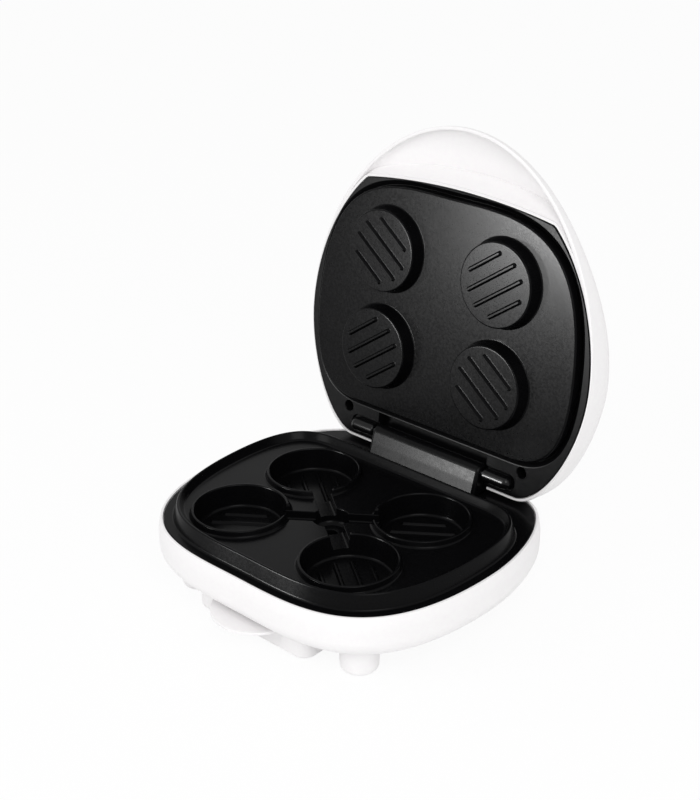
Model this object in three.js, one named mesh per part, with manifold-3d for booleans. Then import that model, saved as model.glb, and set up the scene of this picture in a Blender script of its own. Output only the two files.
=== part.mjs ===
// Hamburger grill with a hinged lid: four ringed wells below, four ribbed discs above.
// Millimetres, +Z up, the front is -Y. The origin lies on the table, midway between the four wells.
// The lid is built closed, in the base's frame, and a group turns it open about the hinge pins.
import * as THREE from 'three';
import { mergeVertices } from 'three/addons/utils/BufferGeometryUtils.js';
import Module from 'manifold-3d';

const wasm = await Module();
wasm.setup();

// Outline of the plates and housings, seen from above
const halfWidth = 109.1;
const widestY = 20;
const frontY = -80.3;
const rearY = 101;
const rearFlatShare = 0.6214;
const frontPullShare = 0.4317;
const rearCornerPullShare = 0.2291;
const frontSidePull = 107.5;
const rearSidePull = 34;
const outlineSteps = 50;
const shieldSteps = 26;

// Heights above the table
const footHeight = 19;
const housingHeight = 28;
const ridgeRise = 9.5;
const deckDrop = 5;
const frameGap = 14;

// Fits between pieces
const seatGap = 0.3;
const closedGap = 0.6;
const pinClearance = 0.1;
const overrun = 1;

// White housings
const wall = 2.4;
const wallBulge = 3.3;
const bottomRadius = 12;
const lipThickness = 2;
const lipRound = 0.5;
const shelfWidth = 2.6;

// Black plates
const plateThickness = 3;
const flangeThickness = 2;
const flangeWidth = 6;
const ridgeDraft = 2.9;
const ridgeRound = 0.7;
const ridgeRearStep = 25.5;
const ridgeRearFlatShare = 0.5866;
const ridgeRearPullShare = 0.2383;
const ridgeSidePull = 40;

// Wells, channels and the drain pit
const wellPitchShare = 0.8341;
const wellPitchY = 65;
const ringRadius = 30;
const ringWall = 1.6;
const ringRise = 4;
const ringDraft = 1;
const wellDepth = 15;
const wellFloorRadius = 26.8;
const cupWall = 2;
const channelWidth = 11;
const channelDepth = 5.5;
const pitRadius = 11.5;
const pitDepth = 11;
const pitWall = 2;
const spoutRadius = 5.5;
const spoutBore = 4;
const wellSides = 24;
const ribSteps = 1;

// Discs and ribs
const discRadius = 26.2;
const discDraft = 2;
const discRise = 9.6;
const discRound = 0.8;
const discHollowRadius = 23;
const ribPitch = 10.4;
const ribLengths = [26.8, 40, 40, 26.8];
const ribWidth = 1.7;
const ribHeight = 1.2;

// Lid
const openAngle = THREE.MathUtils.degToRad(97.8);
const lidHeight = 35.7;
const domePower = 5.3;
const domePowerDrop = 1.4;
const domeStartY = 30;
const domeRings = 7;
const domeRingsInside = 5;
const noseY = -117;
const nosePullShare = 0.549;
const noseSidePull = 75;
const noseStartY = -45;
const noseRimRise = 2.5;
const noseDrop = 23.4;
const frameThickness = 3;
const skirtReach = 1.8;
const skirtSpread = 7.5;
const skirtDepth = 15;
const plateauFlange = 2.2;

// Hinge
const hingeStep = 8.4;
const hingeRise = 13;
const pinRadius = 2;
const pinLength = 32;
const pinSides = 16;
const blockHalf = 44.5;
const blockRadius = 6;
const blockSlope = 5.5;
const blockRound = 2.5;
const blockReach = 11;
const knuckleGap = 2;
const knuckleRadius = 4;
const knuckleLength = 20;
const pocketMargin = 1.6;
const pocketDepth = 1.6;
const notchMargin = 1;
const notchReach = 12.9;
const notchRise = 13;
const hoodWall = 1.4;
const hoodRise = 9;
const hoodRearStep = 4;

// Feet and the pads under them
const footInset = 41.5;
const footFrontStep = 31.5;
const footRearStep = 29;
const footRadius = 12;
const footRound = 3;
const footDraft = 0.5;
const padRadius = 7.2;
const padThickness = 1.7;
const padStand = 0.4;
const footSides = 16;

// Screws and the posts that take them
const screwRadius = 1.4;
const screwHeadRadius = 2.7;
const screwHead = 2;
const screwBite = 4.5;
const boreClearance = 0.3;
const postRadius = 4.2;
const shoulderRadius = 6.5;
const postShare = 0.7883;
const postFrontStep = 58.3;
const postRearStep = 53;
const blockScrewX = 26;
const earShare = 0.6618;
const earStep = 18;
const earHoleRadius = 3.6;
const earCupDepth = 7;
const screwSides = 8;

// Drip tray and its rails
const trayX = -2.8;
const trayFootGap = 4.3;
const trayFrontY = -69;
const trayRearY = 21;
const trayWall = 1.8;
const trayClearance = 1.4;
const trayCorner = 8;
const cornerSteps = 3;
const trayRimWidth = 3;
const trayRimThickness = 1.6;
const trayRimDrop = 3.5;
const lipRadius = 29;
const lipReach = 20.6;
const lipDrop = 2.4;
const lipPlate = 1.8;
const railWeb = 2;
const railFlange = 2;
const railFrontY = -50;

// Heating parts
const tubeRadius = 3.2;
const loopSpread = 1.5;
const loopCorner = 16;
const legX = 8;
const legLength = 26;
const tubeSides = 8;
const bendSteps = 4;
const leadSides = 6;
const leadSteps = 9;
const clampWidth = 10;
const clampThickness = 1.4;
const clampReach = 6;
const clampScrewX = 20;
const sheet = 0.8;
const shieldInset = 9;
const shieldRim = 5;
const shieldHeight = 5;
const thermostatRadius = 7.7;
const thermostatHeight = 8;
const thermostatCap = 2;
const thermostatY = 30;
const upperThermostatY = 18;
const fuseRadius = 2.2;
const fuseLength = 16;
const fuseY = -31;
const blockLength = 22;
const blockDepth = 13;
const blockHeight = 14;
const blockCornerX = -57;
const blockRearStep = 11;
const leadRadius = 1.2;
const leadSpacing = 9;

// Cord inlet and pilot lamps
const inletX = -46;
const inletRise = 17.2;
const inletBore = 2.9;
const inletNeck = 4;
const inletFlange = 5.2;
const inletLip = 2.2;
const lampX = 9;
const lampY = -52;
const lampRadius = 4;
const lampFlange = 1.4;
const lampStand = 1.2;

// Places that follow from the outline's width and depth
const rearFlat = halfWidth * rearFlatShare;
const frontPull = halfWidth * frontPullShare;
const rearCornerPull = halfWidth * rearCornerPullShare;
const ridgeRearY = rearY - ridgeRearStep;
const ridgeRearFlat = halfWidth * ridgeRearFlatShare;
const ridgeRearPull = halfWidth * ridgeRearPullShare;
const nosePull = halfWidth * nosePullShare;
const footX = halfWidth - footInset;
const footFrontY = frontY + footFrontStep;
const footRearY = rearY - footRearStep;
const postX = halfWidth * postShare;
const wellPitchX = halfWidth * wellPitchShare;
const trayHalf = footX - footRadius - trayRimWidth - railWeb - trayFootGap;
const postFrontY = frontY + postFrontStep;
const postRearY = rearY - postRearStep;
const earScrewX = halfWidth * earShare;
const earScrewY = rearY - earStep;
const loopX = wellPitchX / 2 + loopSpread;
const loopY = wellPitchY / 2 + loopSpread;
const legY = loopY + legLength;
const hingeY = rearY - hingeStep;
const blockFrontY = hingeY - blockReach;
const notchFrontY = hingeY - notchReach;
const blockRearY = rearY - blockRearStep;

// Heights that follow from the ones above
const flangeZ = footHeight + housingHeight;
const ridgeZ = flangeZ + ridgeRise;
const deckZ = ridgeZ - deckDrop;
const deckUnderZ = deckZ - plateThickness;
const ringZ = deckZ + ringRise;
const wellFloorZ = ringZ - wellDepth;
const cupUnderZ = wellFloorZ - cupWall;
const plateauZ = ridgeZ + closedGap;
const plateauBackZ = plateauZ + plateThickness;
const discZ = plateauZ - discRise;
const frameZ = flangeZ + frameGap;
const frameTopZ = frameZ + frameThickness;
const plateTopZ = frameTopZ + seatGap + flangeThickness;
const hingeZ = flangeZ + hingeRise;
const floorZ = footHeight + wall;
const flangeUnderZ = flangeZ - flangeThickness;
const shieldZ = floorZ + shieldHeight - sheet;

// Materials: moulded plastic, cast and coated aluminium, steel, ceramic
function material(color, roughness, metalness) {
  return new THREE.MeshStandardMaterial({ color, roughness, metalness });
}
const whitePlastic = () => material(0xf2eff1, 0.3, 0);
const blackCoating = () => material(0x1b1b1d, 0.45, 0.2);
const blackPlastic = () => material(0x161618, 0.35, 0);
const rubber = () => material(0x2a2a2c, 0.9, 0);
const steel = () => material(0xb9bbbd, 0.3, 1);
const sheetMetal = () => material(0xc9ccce, 0.4, 1);
const ceramic = () => material(0xd9d4c8, 0.7, 0);
const copperLead = () => material(0xb8452f, 0.6, 0);
const redLens = () => material(0xb0201c, 0.2, 0);
const greenLens = () => material(0x2a8c3c, 0.2, 0);

// A closed geometry as a solid, whichever way its profile ran
function solidOf(geometry) {
  const bare = new THREE.BufferGeometry();
  bare.setAttribute('position', geometry.getAttribute('position'));
  bare.setIndex(geometry.index);
  const merged = mergeVertices(bare, seatGap / 1000);
  const corners = merged.index.array;
  const faces = [];
  for (let i = 0; i < corners.length; i += 3) {
    const [a, b, c] = corners.slice(i, i + 3);
    if (a !== b && b !== c && c !== a) faces.push(a, b, c);
  }
  const build = (list) => new wasm.Manifold(new wasm.Mesh({
    numProp: 3,
    vertProperties: merged.attributes.position.array,
    triVerts: new Uint32Array(list),
  }));
  const solid = build(faces);
  return solid.volume() < 0 ? build(faces.reverse()) : solid;
}

function geometryOf(solid) {
  const mesh = solid.asOriginal().simplify(seatGap / 30).getMesh();
  const geometry = new THREE.BufferGeometry();
  geometry.setAttribute('position', new THREE.BufferAttribute(mesh.vertProperties, mesh.numProp));
  geometry.setIndex(new THREE.BufferAttribute(mesh.triVerts, 1));
  const flat = geometry.toNonIndexed();
  flat.computeVertexNormals();
  return flat;
}

const join = (first, ...rest) => rest.reduce((whole, piece) => whole.add(piece), first);
const cut = (first, ...rest) => rest.reduce((whole, piece) => whole.subtract(piece), first);

// Half of an outline is two curves: front edge to widest point, widest point to rear edge
function outlinePath({ half, front, rear, flat, pull, sidePull, rearSide, rearCorner }) {
  const path = new THREE.Path();
  path.moveTo(0, rear);
  path.lineTo(-flat, rear);
  path.bezierCurveTo(-flat - rearCorner, rear, -half, widestY + rearSide, -half, widestY);
  path.bezierCurveTo(-half, widestY - sidePull, -pull, front, 0, front);
  path.bezierCurveTo(pull, front, half, widestY - sidePull, half, widestY);
  path.bezierCurveTo(half, widestY + rearSide, flat + rearCorner, rear, flat, rear);
  path.lineTo(0, rear);
  return path;
}

// The outline's points, moved out along its normals by the offset
function ringOf(path, offset, steps = outlineSteps) {
  const points = path.getSpacedPoints(steps).slice(0, steps);
  return points.map((point, i) => {
    const before = points[(i + steps - 1) % steps];
    const after = points[(i + 1) % steps];
    const along = after.clone().sub(before).normalize();
    return new THREE.Vector2(point.x + along.y * offset, point.y - along.x * offset);
  });
}

const plateOutline = outlinePath({
  half: halfWidth,
  front: frontY,
  rear: rearY,
  flat: rearFlat,
  pull: frontPull,
  sidePull: frontSidePull,
  rearSide: rearSidePull,
  rearCorner: rearCornerPull,
});
const ridgeOutline = outlinePath({
  half: halfWidth - flangeWidth,
  front: frontY + flangeWidth,
  rear: ridgeRearY,
  flat: ridgeRearFlat,
  pull: frontPull,
  sidePull: frontSidePull - flangeWidth,
  rearSide: ridgeSidePull,
  rearCorner: ridgeRearPull,
});
const noseOutline = outlinePath({
  half: halfWidth + wallBulge,
  front: noseY,
  rear: rearY + lipThickness,
  flat: rearFlat,
  pull: nosePull,
  sidePull: noseSidePull,
  rearSide: rearSidePull,
  rearCorner: rearCornerPull,
});

// A body from a stack of rings of equal count, closed by a fan at each end
function loft(rings) {
  const count = rings[0].length;
  const points = rings.flat();
  const middle = (ring) => ring
    .reduce((sum, point) => sum.add(point), new THREE.Vector3())
    .divideScalar(ring.length);
  points.push(middle(rings[0]), middle(rings[rings.length - 1]));
  const firstCentre = points.length - 2;
  const lastCentre = points.length - 1;
  const faces = [];
  for (let i = 0; i < count; i += 1) {
    const next = (i + 1) % count;
    for (let j = 0; j + 1 < rings.length; j += 1) {
      const low = j * count;
      const high = low + count;
      faces.push(low + i, low + next, high + next, low + i, high + next, high + i);
    }
    const top = (rings.length - 1) * count;
    faces.push(firstCentre, next, i, lastCentre, top + i, top + next);
  }
  const geometry = new THREE.BufferGeometry().setFromPoints(points);
  geometry.setIndex(faces);
  return solidOf(geometry);
}

// Rows of [outline, offset, height] as one lofted body
function lofted(rows, steps = outlineSteps) {
  const rings = rows.map(([path, offset, z]) => ringOf(path, offset, steps)
    .map((point) => new THREE.Vector3(point.x, point.y, z)));
  return loft(rings);
}

// An arc of a quarter turn in the section, as [offset, height] pairs
function quarter(centreOffset, centreZ, radius, from, steps) {
  return Array.from({ length: steps + 1 }, (_, i) => {
    const angle = from + (Math.PI / 2) * (i / steps);
    return [centreOffset + radius * Math.cos(angle), centreZ + radius * Math.sin(angle)];
  });
}

// A turned body about a vertical axis, from [radius, height] pairs
function turned(pairs, x, y, sides) {
  const profile = pairs.map(([radius, z]) => new THREE.Vector2(radius, z));
  const geometry = new THREE.LatheGeometry(profile, sides);
  geometry.rotateX(Math.PI / 2);
  geometry.translate(x, y, 0);
  return solidOf(geometry);
}

function rod(radius, lowZ, highZ, x, y, sides = screwSides) {
  const geometry = new THREE.CylinderGeometry(radius, radius, highZ - lowZ, sides);
  geometry.rotateX(Math.PI / 2);
  geometry.translate(x, y, (lowZ + highZ) / 2);
  return solidOf(geometry);
}

function box(lowX, highX, lowY, highY, lowZ, highZ) {
  const geometry = new THREE.BoxGeometry(highX - lowX, highY - lowY, highZ - lowZ);
  geometry.translate((lowX + highX) / 2, (lowY + highY) / 2, (lowZ + highZ) / 2);
  return solidOf(geometry);
}

// A flat outline raised from one height to another
function prism(shape, lowZ, highZ, curveSegments = 12) {
  const depth = highZ - lowZ;
  const geometry = new THREE.ExtrudeGeometry(shape, { depth, bevelEnabled: false, curveSegments });
  geometry.translate(0, 0, lowZ);
  return solidOf(geometry);
}

function roundedRectangle(lowX, highX, lowY, highY, radius) {
  const shape = new THREE.Shape();
  shape.absarc(highX - radius, highY - radius, radius, 0, Math.PI / 2);
  shape.absarc(lowX + radius, highY - radius, radius, Math.PI / 2, Math.PI);
  shape.absarc(lowX + radius, lowY + radius, radius, Math.PI, Math.PI * 1.5);
  shape.absarc(highX - radius, lowY + radius, radius, Math.PI * 1.5, Math.PI * 2);
  return shape;
}

const wellPlaces = [-1, 1].flatMap((sideX) => [-1, 1].map((sideY) => ({
  x: sideX * wellPitchX / 2,
  y: sideY * wellPitchY / 2,
  angle: Math.atan2(sideY * wellPitchY, sideX * wellPitchX),
})));
const postPlaces = [
  ['front_left', -postX, postFrontY],
  ['front_right', postX, postFrontY],
  ['rear_left', -postX, postRearY],
  ['rear_right', postX, postRearY],
];
const footPlaces = [
  ['front_left', -footX, footFrontY],
  ['front_right', footX, footFrontY],
  ['rear_left', -footX, footRearY],
  ['rear_right', footX, footRearY],
];

// Four raised bars across a disc or a well floor, along the line to the middle of the plate
function ribs(place, lowZ, highZ) {
  return ribLengths.map((length, i) => {
    const half = length / 2;
    const end = ribWidth / 2;
    const side = (i - (ribLengths.length - 1) / 2) * ribPitch;
    const bar = roundedRectangle(-half, half, side - end, side + end, end);
    return prism(bar, lowZ, highZ, ribSteps)
      .rotate([0, 0, THREE.MathUtils.radToDeg(place.angle)])
      .translate([place.x, place.y, 0]);
  });
}

function channelBar(place, width, lowZ, highZ, reach) {
  return box(0, reach, -width / 2, width / 2, lowZ, highZ)
    .rotate([0, 0, THREE.MathUtils.radToDeg(place.angle)]);
}

function lowerHousing() {
  const bottom = quarter(wallBulge - bottomRadius, footHeight + bottomRadius, bottomRadius, -Math.PI / 2, 3);
  const inner = quarter(wallBulge - bottomRadius, footHeight + bottomRadius, bottomRadius - wall, -Math.PI / 2, 2);
  const lipZ = flangeZ + lipRound;
  const rows = [
    ...bottom,
    [wallBulge, flangeZ - lipThickness * 3],
    [lipThickness, flangeZ],
    [lipThickness - lipRound, lipZ],
    [seatGap, lipZ],
    [seatGap, flangeUnderZ - seatGap],
    [seatGap - shelfWidth, flangeUnderZ - seatGap],
    [wallBulge - wall, flangeUnderZ - seatGap * 2 - shelfWidth],
    ...inner.reverse(),
  ];
  let shell = lofted(rows.map(([offset, z]) => [plateOutline, offset, z]));
  shell = join(shell, ...footPlaces.map(([, x, y]) => foot(x, y)));
  shell = cut(shell, ...footPlaces.map(([, x, y]) => footHollow(x, y)));
  shell = join(shell, ...postPlaces.map(([, x, y]) => platePost(x, y)), ...blockPosts(), drainCollar());
  shell = cut(shell, ...postPlaces.flatMap(([, x, y]) => postBore(x, y, postTopZ)));
  shell = cut(shell, ...[-1, 1].flatMap((side) => postBore(side * blockScrewX, hingeY, blockBaseZ - seatGap)));
  shell = cut(shell, rod(spoutRadius + boreClearance * 4, 0, deckZ, 0, 0), inletHole());
  return join(shell, ...[-1, 1].map(trayRail));
}

function foot(x, y) {
  const top = footHeight + wall / 2;
  return turned([
    [0, padStand],
    [footRadius - footRound, padStand],
    [footRadius - footDraft - footRound / 3, padStand + footRound / 3],
    [footRadius - footDraft, padStand + footRound],
    [footRadius, top],
    [0, top],
  ], x, y, footSides);
}

// Each foot is hollow from above and has a shallow recess for its pad below
function footHollow(x, y) {
  const roof = padStand + padThickness + wall;
  const core = rod(footRadius - wall * 1.2, roof, floorZ + overrun, x, y, footSides);
  return core.add(rod(padRadius + seatGap, 0, padThickness + seatGap, x, y, footSides));
}

const postTopZ = deckUnderZ - screwBite - wall - seatGap;
function platePost(x, y) {
  return turned([
    [0, footHeight],
    [shoulderRadius, footHeight],
    [shoulderRadius, shieldZ - seatGap],
    [postRadius, shieldZ - seatGap],
    [postRadius, postTopZ],
    [0, postTopZ],
  ], x, y, screwSides);
}

const blockBaseZ = flangeUnderZ - seatGap;
function blockPosts() {
  return [-1, 1].map((side) => rod(
    shoulderRadius, footHeight, blockBaseZ - seatGap, side * blockScrewX, hingeY,
  ));
}

// A screw's hole through a post, with a wide mouth from below for the head
function postBore(x, y, topZ) {
  return [
    rod(screwRadius + boreClearance, 0, topZ + overrun, x, y),
    rod(screwHeadRadius + boreClearance, 0, floorZ + screwHead, x, y),
  ];
}

function drainCollar() {
  const outer = spoutRadius + boreClearance * 4 + wall;
  return rod(outer, footHeight, shieldZ - overrun, 0, 0);
}

function inletHole() {
  const geometry = new THREE.CylinderGeometry(inletNeck + boreClearance, inletNeck + boreClearance, bottomRadius * 2, screwSides);
  geometry.translate(inletX, rearY, footHeight + inletRise);
  return solidOf(geometry);
}

// An angle rail under the floor that the tray's rim slides on
function trayRail(side) {
  const rimZ = footHeight - seatGap - trayRimDrop - trayRimThickness;
  const inner = trayHalf + seatGap * 2;
  const web = trayHalf + trayRimWidth + seatGap * 2;
  const shape = new THREE.Shape([
    new THREE.Vector2(inner, rimZ - seatGap - railFlange),
    new THREE.Vector2(web + railWeb, rimZ - seatGap - railFlange),
    new THREE.Vector2(web + railWeb, footHeight + wall / 2),
    new THREE.Vector2(web, footHeight + wall / 2),
    new THREE.Vector2(web, rimZ - seatGap),
    new THREE.Vector2(inner, rimZ - seatGap),
  ]);
  const rail = prism(shape, railFrontY, trayRearY).rotate([90, 0, 0]);
  const placed = rail.mirror([0, 1, 0]);
  return (side < 0 ? placed.mirror([1, 0, 0]) : placed).translate([trayX, 0, 0]);
}

function footPad(x, y) {
  return rod(padRadius, 0, padThickness, x, y, footSides);
}

function lowerPlate() {
  const rows = [
    [ridgeOutline, -flangeWidth, deckUnderZ],
    [ridgeOutline, -flangeWidth / 2, flangeUnderZ],
    [plateOutline, -seatGap, flangeUnderZ],
    [plateOutline, -seatGap, flangeZ - ridgeRound / 2],
    [plateOutline, -seatGap - ridgeRound / 2, flangeZ],
    [ridgeOutline, ridgeRound, flangeZ],
    [ridgeOutline, 0, flangeZ + ridgeRound],
    [ridgeOutline, ridgeRound / 2 - ridgeDraft, ridgeZ - ridgeRound],
    [ridgeOutline, -ridgeDraft, ridgeZ],
    [ridgeOutline, -ridgeDraft - ridgeRound, ridgeZ],
    [ridgeOutline, -ridgeDraft - ridgeRound * 2, ridgeZ - ridgeRound],
    [ridgeOutline, -flangeWidth, deckZ],
  ];
  let plate = lofted(rows);
  plate = join(plate, ...wellPlaces.map(cupOutside), pitOutside());
  plate = join(plate, ...wellPlaces.map((place) => channelBar(
    place, channelWidth + pitWall * 2, deckUnderZ - channelDepth, deckUnderZ + overrun, ringRadius,
  )));
  plate = cut(plate, ...wellPlaces.map(cupInside), ...pitInside());
  plate = cut(plate, ...wellPlaces.map((place) => channelBar(
    place, channelWidth, deckZ - channelDepth, ringZ + overrun, ringRadius,
  )));
  plate = join(plate, ...wellPlaces.flatMap((place) => ribs(place, wellFloorZ - cupWall / 2, wellFloorZ + ribHeight)));
  plate = join(plate, ...postPlaces.map(([, x, y]) => rod(
    postRadius, deckUnderZ - screwBite - wall, deckUnderZ + overrun, x, y,
  )));
  plate = join(plate, ...[-1, 1].map((side) => rod(
    postRadius, clampTopZ + seatGap, deckUnderZ + overrun, side * clampScrewX, 0,
  )));
  const bore = screwRadius + boreClearance;
  plate = cut(plate, ...postPlaces.map(([, x, y]) => rod(
    bore, postTopZ - overrun, deckUnderZ - wall / 2 + overrun, x, y,
  )));
  plate = cut(plate, ...[-1, 1].map((side) => rod(
    bore, clampTopZ - overrun, clampTopZ + screwBite * 2, side * clampScrewX, 0,
  )));
  const notch = blockHalf + notchMargin;
  return cut(plate, box(-notch, notch, blockFrontY - notchMargin, rearY + overrun, flangeUnderZ - overrun, ringZ));
}

function cupOutside(place) {
  return turned([
    [0, cupUnderZ],
    [wellFloorRadius + ringWall, cupUnderZ],
    [ringRadius + ringDraft, deckUnderZ],
    [ringRadius + ringDraft, deckZ],
    [ringRadius, ringZ],
    [0, ringZ],
  ], place.x, place.y, wellSides);
}

function cupInside(place) {
  const mouth = ringRadius - ringWall;
  return turned([
    [0, wellFloorZ],
    [wellFloorRadius - ringWall, wellFloorZ],
    [wellFloorRadius, wellFloorZ + ringWall],
    [mouth, ringZ],
    [mouth, ringZ + overrun],
    [0, ringZ + overrun],
  ], place.x, place.y, wellSides);
}

const pitFloorZ = deckZ - pitDepth;
const spoutEndZ = footHeight + seatGap;
function pitOutside() {
  return turned([
    [0, spoutEndZ],
    [spoutRadius, spoutEndZ],
    [spoutRadius, pitFloorZ - pitWall],
    [pitRadius + pitWall, pitFloorZ - pitWall / 2],
    [pitRadius + pitWall, deckZ - plateThickness / 2],
    [0, deckZ - plateThickness / 2],
  ], 0, 0, footSides);
}

function pitInside() {
  const dish = turned([
    [0, pitFloorZ - pitWall / 2],
    [spoutBore, pitFloorZ - pitWall / 2],
    [pitRadius - pitWall, pitFloorZ],
    [pitRadius, pitFloorZ + pitWall],
    [pitRadius, deckZ + overrun],
    [0, deckZ + overrun],
  ], 0, 0, footSides);
  return [dish, rod(spoutBore, 0, deckZ, 0, 0)];
}

// The heating tube runs in a loop under the four wells, and its two legs end at the rear
function elementStations(z) {
  const corners = [
    [-legX, legY],
    [-legX, loopY],
    [-loopX, loopY],
    [-loopX, -loopY],
    [loopX, -loopY],
    [loopX, loopY],
    [legX, loopY],
    [legX, legY],
  ].map(([x, y]) => new THREE.Vector3(x, y, z));
  const bends = corners.slice(1, -1).flatMap((here, i) => {
    const last = corners[i];
    const next = corners[i + 2];
    const radius = Math.min(loopCorner, here.distanceTo(last) / 2, here.distanceTo(next) / 2);
    const enter = here.clone().lerp(last, radius / here.distanceTo(last));
    const leave = here.clone().lerp(next, radius / here.distanceTo(next));
    return new THREE.QuadraticBezierCurve3(enter, here, leave).getPoints(bendSteps);
  });
  return [corners[0], ...bends, corners[corners.length - 1]];
}

// A round bar through a row of points, each section square to the way there
function barAlong(stations, radius, sides) {
  const up = new THREE.Vector3(0, 0, 1);
  const rings = stations.map((here, i) => {
    const before = stations[Math.max(i - 1, 0)];
    const after = stations[Math.min(i + 1, stations.length - 1)];
    const along = after.clone().sub(before).normalize();
    const across = new THREE.Vector3().crossVectors(along, up).normalize();
    const rise = new THREE.Vector3().crossVectors(across, along);
    return Array.from({ length: sides }, (_, k) => {
      const angle = (Math.PI * 2 * (k + 0.5)) / sides;
      return here.clone()
        .addScaledVector(across, radius * Math.cos(angle))
        .addScaledVector(rise, radius * Math.sin(angle));
    });
  });
  return loft(rings);
}

const lowerTubeZ = cupUnderZ - seatGap - tubeRadius;
const upperTubeZ = plateauBackZ + seatGap + tubeRadius;
const heatingElement = (z) => barAlong(elementStations(z), tubeRadius, tubeSides);

const clampTopZ = lowerTubeZ - tubeRadius - seatGap;
function elementClamp(lowZ) {
  const reach = loopX + clampReach;
  const bar = box(-reach, reach, -clampWidth / 2, clampWidth / 2, lowZ, lowZ + clampThickness);
  const hole = screwRadius + boreClearance;
  const holes = [-1, 1].map((side) => rod(hole, lowZ - overrun, lowZ + clampThickness + overrun, side * clampScrewX, 0));
  const highZ = lowZ + clampThickness;
  const eye = rod(spoutRadius + wall, lowZ, highZ, 0, 0, footSides);
  const spoutHole = rod(spoutRadius + boreClearance, lowZ - overrun, highZ + overrun, 0, 0, footSides);
  return cut(join(bar, eye), ...holes, spoutHole);
}

function lowerShield() {
  const pan = lofted([
    [ridgeOutline, -shieldInset - shieldRim / 2, shieldZ],
    [ridgeOutline, -shieldInset, shieldZ + shieldRim],
    [ridgeOutline, -shieldInset - sheet, shieldZ + shieldRim],
    [ridgeOutline, -shieldInset - sheet - shieldRim / 2, shieldZ + sheet],
  ], shieldSteps);
  const holes = postPlaces.map(([, x, y]) => rod(
    postRadius + boreClearance, shieldZ - overrun, shieldZ + shieldRim + overrun, x, y,
  ));
  const drain = rod(spoutRadius + boreClearance * 4, shieldZ - overrun, shieldZ + shieldRim, 0, 0);
  return cut(pan, ...holes, drain);
}

function upperShield() {
  const lowZ = plateTopZ + seatGap;
  const topZ = lowZ + shieldRim;
  const brim = plateauFlange / 2;
  return lofted([
    [ridgeOutline, -shieldRim * 2, topZ + shieldRim / 2],
    [ridgeOutline, brim - shieldRim / 2, topZ],
    [ridgeOutline, brim, lowZ],
    [ridgeOutline, brim - sheet, lowZ],
    [ridgeOutline, brim - shieldRim / 2 - sheet, topZ - sheet],
    [ridgeOutline, -shieldRim * 2, topZ + shieldRim / 2 - sheet],
  ], shieldSteps);
}

// The thermostat: a flanged disc body pressed to a plate, cap side away from it
function thermostat(plateZ, away, y) {
  const near = plateZ + away * seatGap;
  const step = near + away * thermostatCap;
  const far = near + away * thermostatHeight;
  return turned([
    [0, near],
    [thermostatRadius * 0.8, near],
    [thermostatRadius * 0.8, step],
    [thermostatRadius, step],
    [thermostatRadius, far],
    [0, far],
  ], 0, y, footSides);
}

function thermalFuse() {
  const geometry = new THREE.CapsuleGeometry(fuseRadius, fuseLength - fuseRadius * 2, 3, 10);
  geometry.translate(0, fuseY, deckUnderZ - seatGap - fuseRadius);
  return solidOf(geometry);
}

const terminalLowZ = floorZ + seatGap;
function terminalBlock() {
  const low = terminalLowZ;
  const high = low + blockHeight;
  const frontFace = blockRearY - blockDepth;
  const body = box(blockCornerX, blockCornerX + blockLength, frontFace, blockRearY, low, high);
  const slots = [0, 1].map((i) => {
    const x = blockCornerX + blockLength / 2 + (i - 0.5) * leadSpacing;
    return rod(screwHeadRadius, high - screwHead, high + overrun, x, blockRearY - blockDepth / 2);
  });
  return cut(body, ...slots);
}

function innerLead(side) {
  const startX = blockCornerX + blockLength / 2 + side * leadSpacing / 2;
  const faceY = blockRearY - blockDepth - seatGap;
  const lowZ = terminalLowZ + blockHeight - leadRadius * 3;
  const endY = legY + seatGap;
  const sag = leadSpacing / 2;
  const points = [
    new THREE.Vector3(startX, faceY, lowZ),
    new THREE.Vector3(startX, faceY - sag, lowZ),
    new THREE.Vector3((startX + side * legX) / 2, (faceY + endY) / 2 + side * sag / 2, lowerTubeZ),
    new THREE.Vector3(side * legX, endY + sag, lowerTubeZ),
    new THREE.Vector3(side * legX, endY, lowerTubeZ),
  ];
  return barAlong(new THREE.CatmullRomCurve3(points).getSpacedPoints(leadSteps), leadRadius, leadSides);
}

function cordInlet() {
  const outerY = rearY + wallBulge + seatGap;
  const innerY = rearY + wallBulge - wall - seatGap;
  const profile = [
    [inletBore, innerY - inletLip],
    [inletFlange, innerY - inletLip],
    [inletFlange, innerY],
    [inletNeck, innerY],
    [inletNeck, outerY],
    [inletFlange, outerY],
    [inletFlange - lipRound, outerY + inletLip],
    [inletBore, outerY + inletLip],
    [inletBore, innerY - inletLip],
  ].map(([radius, along]) => new THREE.Vector2(radius, along));
  const geometry = new THREE.LatheGeometry(profile, screwSides);
  geometry.translate(inletX, 0, footHeight + inletRise);
  return solidOf(geometry);
}

// A pan-head screw whose head is at the bottom
function screw(x, y, headZ, tipZ) {
  return turned([
    [0, headZ],
    [screwHeadRadius * 0.8, headZ],
    [screwHeadRadius, headZ + screwHead * 0.4],
    [screwHeadRadius, headZ + screwHead],
    [screwRadius, headZ + screwHead],
    [screwRadius, tipZ - screwRadius],
    [0, tipZ],
  ], x, y, screwSides);
}

const screwUp = (topZ) => topZ - overrun / 2;
const plateScrew = (x, y) => screw(x, y, floorZ - seatGap, screwUp(deckUnderZ - wall));

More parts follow.
